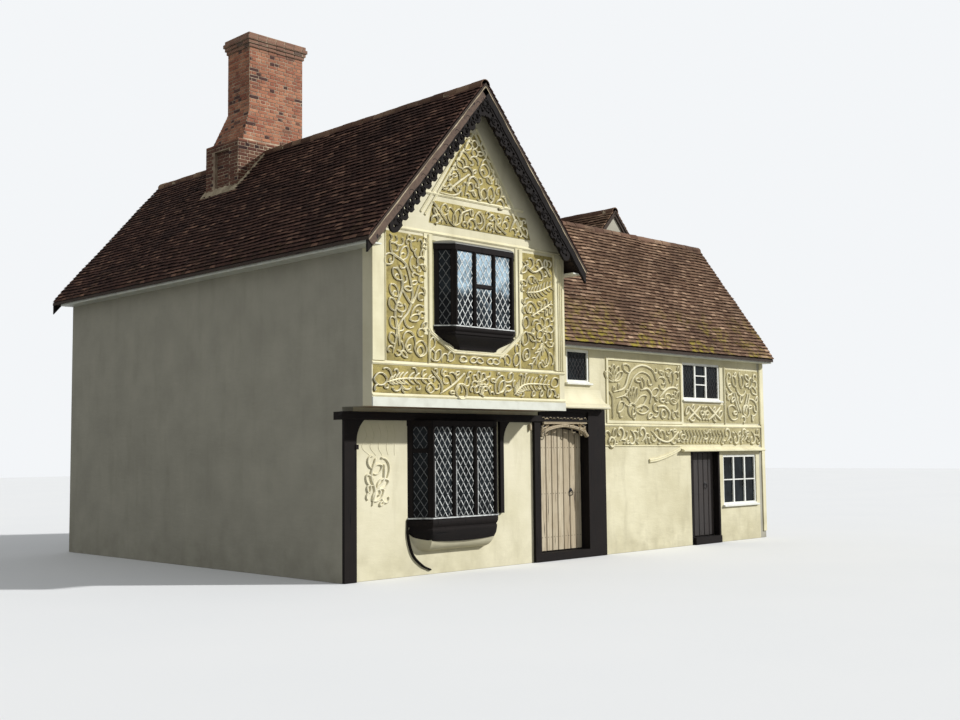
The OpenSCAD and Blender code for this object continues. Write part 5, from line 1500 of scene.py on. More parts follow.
@dataclass
class CantedWindow:
    """Leads and mouldings of a canted window: three front lights and two slanting sides."""

    name: str
    middle: float
    wall: float
    half: float
    front_half: float
    projection: float
    foot: float
    head: float
    transom: float
    middle_transom: bool
    post: float = 0.062
    cell: tuple[float, float] = (0.125, 0.19)

    def lights(self) -> list[tuple[Array, Array, Array, float, float]]:
        """Works out each light as corner, across, out, width and height.

        Returns:
            The lights.
        """
        inset, step = 0.027, 2 * self.front_half / 3
        found = []
        edges = [(-self.front_half + 0.05, -step / 2 - self.post / 2),
                 (-step / 2 + self.post / 2, step / 2 - self.post / 2),
                 (step / 2 + self.post / 2, self.front_half - 0.05)]
        spans = [(self.foot, self.head)]
        split = [(self.foot, self.transom), (self.transom + 0.045, self.head)]
        for index, (left, right) in enumerate(edges):
            for low, high in split if self.middle_transom and index == 1 else spans:
                corner = np.array([self.middle + left, self.wall - self.projection + inset, low])
                found.append((corner, np.array([1.0, 0, 0]), np.array([0, -1.0, 0]), right - left, high - low))
        slant = self.half - self.front_half
        reach = math.hypot(slant, self.projection)
        for sign in (-1, 1):
            across = np.array([slant, -self.projection * 1.0, 0]) / reach
            out = np.array([-self.projection, -slant, 0]) / reach
            start = np.array([-self.half, 0, 0]) + across * 0.062 * reach / slant - out * inset
            width = (slant - 0.062 - 0.05) * reach / slant
            if sign > 0:
                start = start + across * width
                start, across, out = start * [-1, 1, 1], across * [1, -1, 1], out * [-1, 1, 1]
            for low, high in spans if self.middle_transom else split:
                found.append((start + [self.middle, self.wall, low], across, out, width, high - low))
        return found

    def build(self) -> None:
        """Makes the leads, the beads on the posts and the fillets round each light."""
        leads = Gathered()
        for corner, across, out, width, height in self.lights():
            rings = lattice(corner, across, out, width, height, self.cell)
            # painted highlight: in the lower window the strips that lean one way shine and the others are dull, and in
            # both windows the leads of the slanting side lights are dark, by the number that the lead's finish turns
            # into its near-white tone
            lean = (rings[:, 1, 0] - rings[:, 0, 0]) @ across
            bright = np.where(lean < 0, 1.0, 1.0 if self.middle_transom else 0.25)
            leads.tubes(rings, bright * (1.0 if across[0] > 0.99 else 0.1))
        leads.build(self.name + "_leads", Finishes.came_lead, "lead_sheet")
        trim = Gathered()
        step = 2 * self.front_half / 3
        arc = np.radians(np.linspace(0, 180, 7))
        for x, radius in [(-self.front_half + 0.02, 0.024), (-step / 2, 0.02), (step / 2, 0.02),
                          (self.front_half - 0.02, 0.024)]:
            ring = np.stack([radius * np.cos(arc), -radius * 0.8 * np.sin(arc)], -1)
            rings = np.zeros((1, 2, 7, 3))
            for k, z in enumerate((self.foot, self.head)):
                rings[0, k, :, 0] = self.middle + x + ring[:, 0]
                rings[0, k, :, 1] = self.wall - self.projection + 0.002 + ring[:, 1]
                rings[0, k, :, 2] = z
            trim.tubes(rings)
        for corner, across, out, width, height in self.lights():
            bars = np.array([[0, 0, width, 0.014], [0, height - 0.014, width, height],
                             [0, 0, 0.014, height], [width - 0.014, 0, width, height]])
            rings = np.zeros((4, 2, 4, 3))
            for ring, depth in enumerate((0.0, 0.012)):
                for point, (u, v) in enumerate([(0, 1), (2, 1), (2, 3), (0, 3)]):
                    place = corner + bars[:, u, None] * across + bars[:, v, None] * np.array([0, 0, 1.0])
                    rings[:, ring, point] = place + depth * out
            trim.tubes(rings)
        trim.build(self.name + "_beads", Finishes.black_timber, "black_timber", smooth=50)
        self.pale_lines()

    def pale_lines(self) -> None:
        """Makes the pale line round the sill, and the pale edges of the lower window's posts: painted highlights where
        light catches these edges.

        Each line is a small rectangle carried along the canted plan, or up a post.
        """
        lines, turn = Gathered(), np.array([-1, 1, 1, -1])
        plan = np.array([[-self.half, 0], [-self.front_half, -self.projection], [self.front_half, -self.projection],
                         [self.half, 0]])
        slant = np.hypot(self.half - self.front_half, self.projection)
        lean = np.array([-self.projection, self.front_half - self.half]) / slant
        mitre = (lean + [0, -1]) / (1 - lean[1])
        out = np.array([lean, mitre, mitre * [-1, 1], lean * [-1, 1]])
        rings = np.zeros((1, 4, 4, 3))
        for point, (reach, z) in enumerate([(-0.01, -0.012), (0.022, -0.012), (0.018, 0.006), (-0.01, 0.010)]):
            rings[0, :, point, :2] = plan + reach * out + [self.middle, self.wall]
            rings[0, :, point, 2] = self.foot + z
        lines.tubes(rings)
        if not self.middle_transom:
            step, top = 2 * self.front_half / 3, self.foot + 0.62 * (self.head - self.foot)
            x = self.middle + np.array([-1.5, -0.5, 0.5, 1.5]) * step + [0.055, 0.036, 0.036, -0.03]
            rings = np.zeros((4, 2, 4, 3))
            rings[..., 0] = x[:, None, None] + 0.007 * turn
            rings[..., 1] = self.wall - self.projection + 0.012 * np.array([-1, -1, 1, 1]) + 0.004
            rings[:, :, :, 2] = np.array([self.foot + 0.02, top])[:, None]
            lines.tubes(rings)
        lines.build(self.name + "_pale_lines", Finishes.came_lead, "lead_sheet")


# --- verges, roofs and ridges


@dataclass
class Verges:
    """Carved verge boards of the cross-wing: weathered strip, scrolls and tile bedding."""

    def add_run(self, face: float, facing: float, strip: tuple[Gathered, Gathered], beds: Gathered) -> None:
        """Adds the strip and the bedding over both boards of one gable.

        Args:
            face: Y of the boards' outer face.
            facing: -1 where that face looks to the street, 1 where it looks back.
            strip: Where the strips of the left and right boards are gathered.
            beds: Where the bedding is gathered.
        """
        roof, (cos, sin) = PLAN.wing, PLAN.wing.lean
        along = np.linspace(0.0, roof.length, 60)[:, None]
        knots = np.array([-roof.overhang, roof.edge - 0.032 / cos]) + along * np.array([cos, sin])
        wave = 0.004 * np.sin(along * 9.0) + 0.003 * np.sin(along * 23.0)
        for side in (0, 1):
            for gathered, low, high, depth in [(strip[side], 0.125, 0.004, 0.013), (beds, 0.016, -0.022, 0.018)]:
                upper, lower = (knots + down * np.array([sin, -cos]) for down in (high, low + wave))
                edges = np.stack([upper, upper, lower, lower], 1)
                outer = np.maximum(edges[..., 0], -roof.overhang)
                y = face + facing * depth * np.array([0, 1, 1, 0])
                gathered.tubes(joined(PLAN.wing_width - outer if side else outer, y, edges[..., 1])[None])

    def scrolls(self) -> bpy.types.Object:
        """Carves running scrolls and small leaves on the lower part of the front boards.

        Returns:
            The piece.
        """
        roof, (cos, sin), relief = PLAN.wing, PLAN.wing.lean, Relief(-PLAN.verge_face, 0.03, 0.016)
        run, drop = np.array([cos, sin]), np.array([sin, -cos])
        at = np.arange(0.60, roof.length - 0.16, 0.19)
        foot = np.array([-roof.overhang, roof.edge - 0.032 / cos])
        start = foot + at[:, None] * run + 0.165 * drop
        sign = np.where(np.arange(len(at)) % 2, -1.0, 1.0)
        table = [(x, z, roof.pitch + s * 25, 0.30, -s * 290, 1.2, 1.0) for (x, z), s in zip(start, sign)]
        relief.curls(table, mirror=PLAN.wing_width / 2, bud=0.6)
        for x, z in foot + (at[:, None] + 0.08) * run + 0.19 * drop:
            relief.leaves([(x, z, roof.pitch - 60, 0.09, 0.6), (PLAN.wing_width - x, z, 240 - roof.pitch, 0.09, 0.6)])
        return relief.parts.build("verge_scrolls", Finishes.black_timber, "black_timber", smooth=60)

    def build(self) -> None:
        """Builds the strips, the bedding and the carving."""
        strip, beds = (Gathered(), Gathered()), Gathered()
        self.add_run(-PLAN.verge_face, -1, strip, beds)
        self.add_run(PLAN.wing_length + PLAN.verge_face, 1, strip, beds)
        strip[0].build("verge_strip_left", Finishes.verge_oak, "weathered_oak")
        # painted shade: the right boards' strip takes the black finish in place of the weathered oak, as these boards
        # stand in shade
        strip[1].build("verge_strip_right", Finishes.black_timber, "weathered_oak")
        beds.build("verge_bedding", Finishes.bedding, "cream_render")
        self.scrolls()


@dataclass
class Roofs:
    """All tiled slopes and ridges."""

    def wing(self) -> None:
        """Tiles both slopes of the cross-wing, with a hole for the stack."""
        roof, (cos, sin), stack = PLAN.wing, PLAN.wing.lean, Stack()
        length = PLAN.wing_length + 2 * PLAN.verge
        front, back = stack.front + PLAN.verge, stack.back + PLAN.verge
        left = (stack.left + roof.overhang) / cos
        right = (PLAN.wing_width + roof.overhang - stack.right) / cos
        TiledSlope(
            "wing_tiles_left", (-roof.overhang, PLAN.wing_length + PLAN.verge, roof.edge), (0, -1, 0), (cos, 0, sin),
            length, roof.length, Finishes.wing_tiles, "wing_tiles", 3,
            holes=[(length - back, length - front, left, NO_END)],
        ).build()
        TiledSlope(
            "wing_tiles_right", (PLAN.wing_width + roof.overhang, -PLAN.verge, roof.edge), (0, 1, 0), (-cos, 0, sin),
            length, roof.length, Finishes.wing_tiles, "wing_tiles", 5, holes=[(front, back, right, NO_END)],
        ).build()

    def long_range(self) -> None:
        """Tiles both slopes of the range: over the wing's eaves to the valley, under them to its wall."""
        roof, (cos, sin), (wing_cos, wing_sin) = PLAN.long_range, PLAN.long_range.lean, PLAN.wing.lean
        start, end = PLAN.wing_width - 1.9, PLAN.range_end + PLAN.range_verge
        valley = ((PLAN.wing_width + 0.31, 0, PLAN.wing.edge - 0.03), (-wing_sin, 0, -wing_cos))
        wall = ((PLAN.wing_width, 0, 0), (-1, 0, 0))
        level = (PLAN.wing.edge - 0.03 - roof.edge) / sin
        rear = end - PLAN.rear_middle
        hole = (rear - PLAN.rear_half + 0.05, rear + PLAN.rear_half - 0.05, 0.0, 1.55)
        for name, cut, first, last in (("", valley, level, NO_END), ("_low", wall, 0.0, level)):
            TiledSlope(
                "range_tiles_front" + name, (start, PLAN.front - roof.overhang, roof.edge), (1, 0, 0), (0, cos, sin),
                end - start, roof.length, Finishes.range_tiles, "range_tiles", 7,
                gauge=0.096, thick=0.019, sag=0.034, cuts=[cut], first=first, last=last,
            ).build()
            TiledSlope(
                "range_tiles_rear" + name, (end, PLAN.range_back + roof.overhang, roof.edge), (-1, 0, 0),
                (0, -cos, sin),
                end - start, roof.length, Finishes.range_tiles, "range_tiles", 9,
                gauge=0.096, sag=0.03, cuts=[cut], holes=[hole], first=first, last=last,
            ).build()

    @staticmethod
    def rear_ends() -> Point:
        """Y of both ends of the rear wing's roof, as its solid has them."""
        low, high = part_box("rear_wing_roof_left")
        return low.y + HOUSE_ORIGIN[1], high.y + HOUSE_ORIGIN[1]

    def rear(self) -> None:
        """Tiles the rear wing up to the valley at the range."""
        roof, (cos, sin), (range_cos, range_sin) = PLAN.rear, PLAN.rear.lean, PLAN.long_range.lean
        near, far = self.rear_ends()
        valley = ((0, PLAN.range_back + 0.25, PLAN.long_range.edge - 0.03), (0, -range_sin, -range_cos))
        for name, sign in (("left", -1), ("right", 1)):
            edge = PLAN.rear_middle + sign * (PLAN.rear_half + roof.overhang)
            TiledSlope(
                f"rear_tiles_{name}", (edge, far if sign < 0 else near, roof.edge), (0, sign, 0), (-sign * cos, 0, sin),
                far - near, roof.length, Finishes.range_tiles, "range_tiles", 13 + sign, gauge=0.096, cuts=[valley],
            ).build()

    def ridges(self) -> None:
        """Lays ridge tiles along every ridge in place of the plain ones."""
        tiles, beds = Gathered(), Gathered()
        wing, middle, high = PLAN.wing.ridge, PLAN.wing_width / 2, PLAN.long_range.ridge
        near, far = self.rear_ends()
        valley = PLAN.wing_width + 0.31 - (high - PLAN.wing.edge) / PLAN.wing.slope
        runs = [
            ((middle, -PLAN.verge + 0.004, wing), (middle, 6.04, wing)),
            ((middle, 7.21, wing), (middle, 10.30, wing)),
            ((valley - 0.05, PLAN.range_middle, high), (12.445, PLAN.range_middle, high)),
            ((PLAN.rear_middle, near + 0.002, PLAN.rear.ridge), (PLAN.rear_middle, far - 0.002, PLAN.rear.ridge)),
        ]
        for seed, (start, end) in enumerate(runs):
            RidgeRun(np.array(start), np.array(end), 31 + seed).add(tiles, beds)
        made = tiles.build("ridge_run", Finishes.ridge_clay, "range_tiles", smooth=50)
        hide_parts("ridge_tiles")
        beds.build("ridge_bedding", Finishes.bedding, "cream_render", smooth=50)

    def build(self) -> None:
        """Builds every slope and ridge."""
        self.wing()
        self.long_range()
        self.rear()
        self.ridges()


# --- the stack


@dataclass
class Stack:
    """Brick skin of the chimney stack and of its projecting head."""

    left: float = 1.525
    right: float = 3.17
    shaft_left: float = 1.81
    shaft_right: float = 3.14
    front: float = 6.03
    back: float = 7.22
    shaft_front: float = 6.065
    shaft_back: float = 6.855
    ledge: float = 0.13
    base_top: float = 8.41
    shoulder_top: float = 9.08
    top: float = 10.38
    corbels: tuple[float, ...] = (0.026, 0.052, 0.078, 0.052)

    def faces(self) -> list[BrickFace]:
        """Lists the faces of the base, the shoulders and the shaft over the roof.

        Returns:
            The faces.
        """
        x, y, z = np.eye(3)
        left, right, front, back = self.left, self.right, self.front, self.back
        shaft_left, shaft_right, shaft_back = self.shaft_left, self.shaft_right, self.shaft_back
        base, shoulder, top = self.base_top, self.shoulder_top, self.top
        roof, inner = PLAN.wing, left + self.ledge
        ridge, left_foot = roof.ridge - 0.1, roof.under(left) - 0.05
        right_foot = roof.edge + (PLAN.wing_width + roof.overhang - right) * roof.slope - 0.05
        aside = np.array([shaft_left - inner, 0, shoulder - base])
        behind = np.array([0, shaft_back - back, shoulder - base])
        aside_length, behind_length = (float(np.linalg.norm(v)) for v in (aside, behind))
        wide, deep = back - front, shaft_back - self.shaft_front
        table = [
            ((0, front, 0), x, z, [(left_foot, left, left + 0.12), (ridge, left, 2.35), (ridge + 0.06, left, right),
                                   (base, left, right)], 1),
            ((0, self.shaft_front, 0), x, z, [(base + 0.035, inner, shaft_right), (shoulder, shaft_left, shaft_right),
                                              (top, shaft_left, shaft_right)], 2),
            ((left, back, 0), -y, z, [(left_foot, 0, wide), (base, 0, wide)], 3, (0.33, wide - 0.33, 7.0, 8.25)),
            ((left + 0.06, back, 0), -y, z, [(left_foot, 0.34, wide - 0.34), (8.25, 0.34, wide - 0.34)], 4),
            ((inner, back, base), -y, aside / aside_length,
             [(0, 0, wide - 0.035), (aside_length, back - shaft_back, wide - 0.035)], 5),
            ((left, back, base), -y, x, [(0, 0, wide), (self.ledge, 0, wide)], 12),
            ((shaft_left, shaft_back, 0), -y, z, [(shoulder, 0, deep), (top, 0, deep)], 6),
            ((right, front, 0), y, z, [(right_foot, 0, wide), (base, 0, wide)], 7),
            ((shaft_right, self.shaft_front, 0), y, z, [(base, 0, wide - 0.055), (shoulder, 0, deep), (top, 0, deep)],
             8),
            ((right, back, 0), -x, z, [(right_foot, 0, 0.12), (ridge, 0, right - 2.2), (ridge + 0.06, 0, right - left),
                                       (base, 0, right - left)], 9),
            ((right, back, base), -x, behind / behind_length,
             [(0, 0.03, right - inner), (behind_length, 0.03, right - shaft_left)], 10),
            ((shaft_right, shaft_back, 0), -x, z,
             [(shoulder, 0, shaft_right - shaft_left), (top, 0, shaft_right - shaft_left)], 11),
        ]
        return [BrickFace(*row) for row in table]

    def head_faces(self) -> list[BrickFace]:
        """Lists the four faces of each projecting course.

        Returns:
            The faces.
        """
        x, y, z = np.eye(3)
        found = []
        for course, out in enumerate(self.corbels):
            low, high = self.top + 0.072 * course, self.top + 0.072 * (course + 1)
            left, right = self.shaft_left - out, self.shaft_right + out
            front, back = self.shaft_front - out, self.shaft_back + out
            sides = [((left, front, 0), x, right - left), ((left, back, 0), -y, back - front),
                     ((right, front, 0), y, back - front), ((right, back, 0), -x, right - left)]
            for number, (corner, across, size) in enumerate(sides):
                found.append(BrickFace(corner, across, z, [(low, 0, size), (high, 0, size)], 40 + 4 * course + number))
        return found

    def fillets(self) -> bpy.types.Object:
        """Makes the mortar fillet that seals the stack to the tiles of the left slope.

        Returns:
            The piece.
        """
        roof, beds = PLAN.wing, Gathered()
        out, up = np.array([(0.02, -0.03), (-0.10, -0.10), (-0.10, -0.05), (0.02, 0.11)]).T
        y = np.linspace(self.front - 0.06, self.back + 0.06, 24)[:, None]
        wave = 0.008 * np.sin(y * 31) + 0.005 * np.sin(y * 77)
        foot = roof.under(self.left)
        beds.tubes(joined(self.left + out + wave * (out < 0), y, foot + up + wave * (up > 0))[None])
        out, up = np.array([(-0.02, -0.04), (0.09, -0.04), (0.07, 0.035), (-0.02, 0.12)]).T
        x = np.linspace(self.left, PLAN.wing_width / 2, 30)[:, None]
        wave = 0.008 * np.sin(x * 37) + 0.004 * np.sin(x * 83)
        for face, sign in ((self.front, -1), (self.back, 1)):
            for place in (x, PLAN.wing_width - x):
                z = roof.under(x) + up + wave * (up > 0)
                beds.tubes(joined(place, face + sign * (out + wave * (out > 0)), z)[None])
        return beds.build("stack_fillets", Finishes.bedding, "cream_render")

    def build(self) -> None:
        """Builds the skin of bricks and the fillets."""
        bricks = Gathered()
        for face in self.faces() + self.head_faces():
            face.add(bricks)
        bricks.build("stack_bricks", Finishes.stack_brick, "red_brick", smooth=20)
        self.fillets()


# --- the range's front


@dataclass
class RangeFront:
    """Pargeting, bands and window leads of the long range."""

    plane: float = 0.73
    painted_shadows: Gathered = field(default_factory=Gathered)

    def grounds(self) -> bpy.types.Object:
        """Makes the grounds of the panels and the frieze.

        Returns:
            The piece.
        """
        parts = Gathered()
        for seed, knots in enumerate([
            [(2.62, 6.65, 9.09), (3.81, 6.65, 9.09)],
            [(2.60, 9.20, 10.72), (3.0, 9.20, 10.72)],
            [(2.60, 10.79, 12.17), (3.80, 10.79, 12.17)],
            [(2.13, 6.50, 12.2), (2.49, 6.50, 12.2)],
        ]):
            parts.tubes(ground_plate(self.plane, knots, 3 + seed * 2.3, 0.004))
        return parts.build("range_grounds", Finishes.range_ground, "ochre_render")

    def panel(self, knots: Knots, seed: int, parts: Gathered, width: float = 0.044, reach: float = 0.060) -> Panel:
        """Makes an empty panel of the range."""
        return Panel(self.plane - 0.004, width, 0.032, parts, self.painted_shadows, knots, reach, seed)

    def big_panel(self, parts: Gathered) -> None:
        """Fills the large panel: a flower of tall petals under a doubled arch, and great scrolls.

        Args:
            parts: Where the strands are gathered.
        """
        panel = self.panel([(2.62, 6.66, 9.08), (3.81, 6.66, 9.08)], 3, parts)
        panel.stem([(6.68, 3.20), (6.77, 3.06), (6.78, 2.66)], 0.9)
        panel.leaves([(7.45, 2.94, 72 + 18 * k, 0.38, 0.27) for k in range(4)])
        panel.leaves([(7.50, 2.90, 30, 0.46, 0.34), (7.52, 2.84, 2, 0.44, 0.34), (7.46, 2.88, -88, 0.24, 0.4),
                      (7.38, 2.92, 150, 0.36, 0.36)])
        panel.stem([(6.82, 3.18), (7.16, 3.28), (7.36, 3.60), (7.72, 3.75), (8.08, 3.68), (8.26, 3.44)])
        panel.stem([(6.90, 3.06), (7.22, 3.16), (7.46, 3.48), (7.72, 3.61), (7.98, 3.55), (8.12, 3.36)], 0.9)
        panel.leaves([(6.84, 3.40, 150 - 29 * k, 0.34, 0.36) for k in range(5)])
        panel.leaves([(8.94, 3.02, 170 - 32 * k, 0.24, 0.4) for k in range(4)])
        panel.stem([(7.70, 3.24), (7.92, 3.28), (8.06, 3.16), (8.0, 2.98)])
        panel.stem([(8.34, 3.12), (8.60, 3.29), (8.86, 3.33), (9.03, 3.26)])
        panel.stem([(8.26, 2.92), (8.50, 2.93), (8.68, 2.80), (8.64, 2.66)])
        panel.curls([(7.40, 2.68, 160, 0.80, -350, 1.2, 1.0), (8.46, 2.66, 165, 0.62, -400, 1.15, 1.0),
                     (8.30, 3.50, 30, 0.7, -300, 1.3, 1.0)])
        panel.grow(0.8, 0.20, 0.7)

    def small_panels(self, parts: Gathered) -> None:
        """Fills the panel under the casement and the tall panel at the right.

        Args:
            parts: Where the strands are gathered.
        """
        panel = self.panel([(2.60, 9.22, 10.70), (3.01, 9.22, 10.70)], 5, parts, 0.05, 0.062)
        for side in (-1, 1):
            panel.stem([(9.96 - side * x, z) for x, z in ((0.64, 2.66), (0.40, 2.80), (0.16, 2.96))])
            panel.stem([(9.96 - side * x, z) for x, z in ((0.62, 2.96), (0.36, 2.78), (0.14, 2.66))])
        panel.flower((9.96, 2.81), 0.16, 6)
        panel.grow(0.4, 0.16, 0.5)
        panel = self.panel([(2.62, 10.80, 12.17), (3.80, 10.80, 12.17)], 8, parts, 0.05, 0.066)
        for x in (0.0, 0.09):
            panel.stem([(11.42 - x, 2.84), (11.30 - x, 3.05), (11.20 - x, 3.30)])
            panel.stem([(11.50 + x, 2.84), (11.60 + x, 3.05), (11.70 + x, 3.28)])
        panel.leaves([(11.26, 2.72, 148, 0.44, 0.6), (11.20, 3.42, 112, 0.27, 0.45), (11.46, 3.40, 90, 0.30, 0.45),
                      (11.76, 3.40, 68, 0.27, 0.45)])
        panel.curls([(11.62, 2.72, 20, 0.80, 340, 1.2, 1.0), (11.40, 2.70, 60, 0.34, -250, 1.3, 1.0)])
        panel.grow(0.7, 0.18, 0.7)

    def frieze(self, parts: Gathered) -> None:
        """Fills the frieze: running scrolls, a long sweep, arrow shapes and smaller scrolls.

        Args:
            parts: Where the strands are gathered.
        """
        panel = self.panel([(2.125, 6.48, 12.20), (2.49, 6.48, 12.20)], 4, parts, 0.045, 0.055)
        panel.curls([(6.62, 2.18, 82, 0.70, -420, 1.1, 1.1)])
        for left, count, step in ((6.98, 3, 0.36), (10.80, 4, 0.34)):
            sign = 1 - 2.0 * (np.arange(count) % 2)
            panel.curls([(left + k * step, 2.31 - 0.11 * sign[k], sign[k] * 28, 0.62, sign[k] * 330, 1.6,
                          1.1) for k in range(count)])
        panel.stem([(8.02, 2.42), (8.30, 2.24), (8.64, 2.20), (8.98, 2.40)])
        x = 9.14 + 0.12 * np.arange(13)
        tips = np.stack([x, x + 0.09, x], 1)
        panel.strands(np.stack([tips, np.broadcast_to([2.45, 2.31, 2.17], tips.shape)], -1), 1.05, 0.85)
        panel.grow(0.36, 0.13, 0.45)

    def build(self) -> None:
        """Builds the grounds, the strands, the sloping fillet and the leads."""
        self.grounds()
        for name, fill in (("range_panel_strands", self.big_panel), ("range_small_strands", self.small_panels),
                           ("range_frieze_strands", self.frieze)):
            parts = Gathered()
            fill(parts)
            parts.build(name, Finishes.range_strand, "cream_render", smooth=70)
        # the strips of painted shadow beside the range's strands
        self.painted_shadows.build("range_painted_shadows", Finishes.range_shadow_paint, "ochre_render")
        bands = Relief(self.plane)
        bands.band([(10.76, 2.58), (10.76, 3.84)], 0.05, 0.028)
        bands.band([(12.20, 3.84), (12.20, 2.58)], 0.05, 0.028)
        bands.band([(6.48, 2.115), (9.1, 2.10)], 0.03, 0.018)
        bands.band([(7.95, 1.80), (8.20, 1.82), (8.50, 1.88), (8.80, 1.96), (9.06, 2.05)], 0.08, 0.035)
        bands.parts.build("range_bands", Finishes.moulding_render, "cream_render")
        leads, out, across = Gathered(), np.array([0, -1.0, 0]), np.array([1.0, 0, 0])
        face = self.plane + 0.02 + 0.031
        for left, right, low, high in [
            (5.46, 6.04, 3.38, 3.92), (9.24, 9.651, 3.14, 3.835), (10.117, 10.55, 3.14, 3.835),
        ]:
            leads.tubes(lattice(np.array([left, face, low]), across, out, right - left, high - low, (0.10, 0.155)))
        leads.build("range_leads", Finishes.iron, "lead_sheet")


# --- doors


@dataclass
class BoardedDoor:
    """Upright boards, nails and a ring on the face of a leaf.

    Attributes:
        left: X of the doorway's left side.
        right: X of its right side.
        foot: Height of the boards' foot.
        top: Height of the boards' top, or of the arch's springing.
        rise: Rise of the arch, or nothing for a square head.
        face: Y of the leaf's outer face.
    """

    name: str
    body: str
    left: float
    right: float
    foot: float
    top: float
    rise: float
    face: float
    count: int
    finish: Finishes
    slot: str
    clear: float = 0.009
    gap: float = 0.009

    def head(self, x: Array) -> Array:
        """Height of the doorway over each X: a four-centred arch as two curves that meet.

        Args:
            x: Places across the doorway.

        Returns:
            Heights of the boards' tops.
        """
        half = (self.right - self.left) / 2
        share = np.clip(np.abs(x - (self.left + self.right) / 2) / half, 0, 1)
        shoulder = np.sqrt(np.clip(1 - share**2.6, 0, 1))
        return self.top + self.rise * (0.72 * shoulder + 0.28 * (1 - share)) - self.clear

    def build(self) -> None:
        """Makes the boards, the nails and the ring handle."""
        rng = np.random.default_rng(17)
        edges = np.linspace(self.left + self.clear, self.right - self.clear, self.count + 1)
        edges[1:-1] += rng.normal(0, 0.008, self.count - 1)
        low, high = edges[:-1] + self.gap, edges[1:] - self.gap
        share = np.array([0.0, 0.06, 0.35, 0.65, 0.94, 1.0])
        x = low[:, None] + (high - low)[:, None] * share
        top = self.head(x)
        cup = np.array([0.006, 0.0, -0.0015, -0.0015, 0.0, 0.006])
        rings = np.zeros((self.count, 6, 4, 3))
        rings[..., 0] = x[..., None]
        rings[:, :, [0, 3], 1] = self.face + 0.001
        rings[:, :, 1:3, 1] = (self.face - 0.014 + cup)[None, :, None]
        rings[:, :, :2, 2] = self.foot + 0.004
        rings[:, :, 2:, 2] = top[..., None]
        boards = Gathered()
        boards.tubes(rings, rng.random(self.count))
        boards.build(self.name + "_boards", self.finish, self.slot, self.body, 25)
        nails = Gathered()
        middle = (low + high) / 2
        heights = np.array([self.foot + 0.25, (self.foot + self.top) / 2, self.top - 0.2])
        spots = np.array([[m + d, h] for h in heights for m in middle for d in (-0.04, 0.04)])
        angle = np.radians(np.arange(8) * 45)
        head = np.zeros((len(spots), 3, 8, 3))
        for ring, (depth, radius) in enumerate([(-0.010, 0.008), (-0.0175, 0.008), (-0.021, 0.004)]):
            head[:, ring, :, 0] = spots[:, :1] + radius * np.cos(angle)
            head[:, ring, :, 1] = self.face + depth
            head[:, ring, :, 2] = spots[:, 1:] + radius * np.sin(angle)
        nails.tubes(head)
        ring_at = np.array([self.right - 0.33, self.face - 0.026, 1.28])
        turn = np.radians(np.linspace(0, 360, 25))
        path = ring_at + np.stack([0.055 * np.cos(turn), 0.006 * np.sin(turn), 0.055 * np.sin(turn) - 0.05], 1)
        tube = np.radians(np.arange(6) * 60)
        radial = np.stack([np.cos(turn), 0 * turn, np.sin(turn)], 1)
        around_path = np.cos(tube)[:, None] * radial[:, None] + np.sin(tube)[:, None] * np.array([0, 1.0, 0])
        rings = path[:, None] + 0.006 * around_path
        nails.tubes(rings[None])
        plate = np.zeros((1, 3, 12, 3))
        around = np.radians(np.arange(12) * 30)
        for k, (depth, radius) in enumerate([(-0.012, 0.04), (-0.018, 0.04), (-0.026, 0.012)]):
            x, z = (ring_at[axis] + radius * turned for axis, turned in ((0, np.cos(around)), (2, np.sin(around))))
            plate[0, k] = joined(x, self.face + depth, z)
        nails.tubes(plate)
        nails.build(self.name + "_ironwork", Finishes.iron, "black_timber", self.body, 50)


@dataclass
class Doorways:
    """Boards of both doors and the carving over the front door."""

    def build(self) -> None:
        """Builds the boards, the carved spandrels and the carved lintel."""
        BoardedDoor("front_door", "front_door", 4.58, 5.955, 0.17, 2.285, 0.18, 0.876, 8,
                    Finishes.door_oak, "weathered_oak").build()
        BoardedDoor("side_door", "side_door", 9.48, 10.46, 0.17, 1.955, 0.0, 0.876, 5,
                    Finishes.dark_door, "black_timber").build()
        carving = Relief(0.70, 0.026, 0.022)
        carving.curls([(4.63, 2.38, 62, 0.36, -250, 1.4, 1.0), (4.72, 2.46, 0, 0.34, 230, 1.4, 0.9),
                       (4.95, 2.50, -10, 0.26, -220, 1.4, 0.8), (4.62, 2.49, -40, 0.2, 120, 1.4, 0.8)], mirror=5.2675)
        for x, sign in ((4.64, 1), (5.895, -1)):
            carving.leaves([(x, 2.34, 90 - sign * 40, 0.24, 0.5), (x + sign * 0.16, 2.44, 90 - sign * 62, 0.22, 0.45),
                            (x + sign * 0.34, 2.49, 90 - sign * 80, 0.20, 0.4)])
        carving.curls([(4.66 + 0.1 * k, 2.635 - 0.012 * (k % 2), 40, 0.15, -250, 1.3, 0.7) for k in range(13)])
        carving.stem([(4.335, 2.40), (4.34, 2.47), (4.33, 2.52)], 2.4)
        carving.parts.build("doorway_carving", Finishes.door_oak, "weathered_oak", smooth=60)
        hood = Relief(0.70)
        x = np.linspace(4.605, 5.93, 15)
        share = np.abs(x - 5.2675) / 0.6625
        z = 2.30 + 0.20 * (0.72 * np.sqrt(1 - np.minimum(share, 1) ** 2.6) + 0.28 * (1 - share))
        hood.band(list(zip(x, z)), 0.06, 0.055)
        hood.band([(4.66, 2.545), (5.90, 2.56)], 0.055, 0.05)
        hood.parts.build("doorway_moulding", Finishes.door_oak, "weathered_oak")


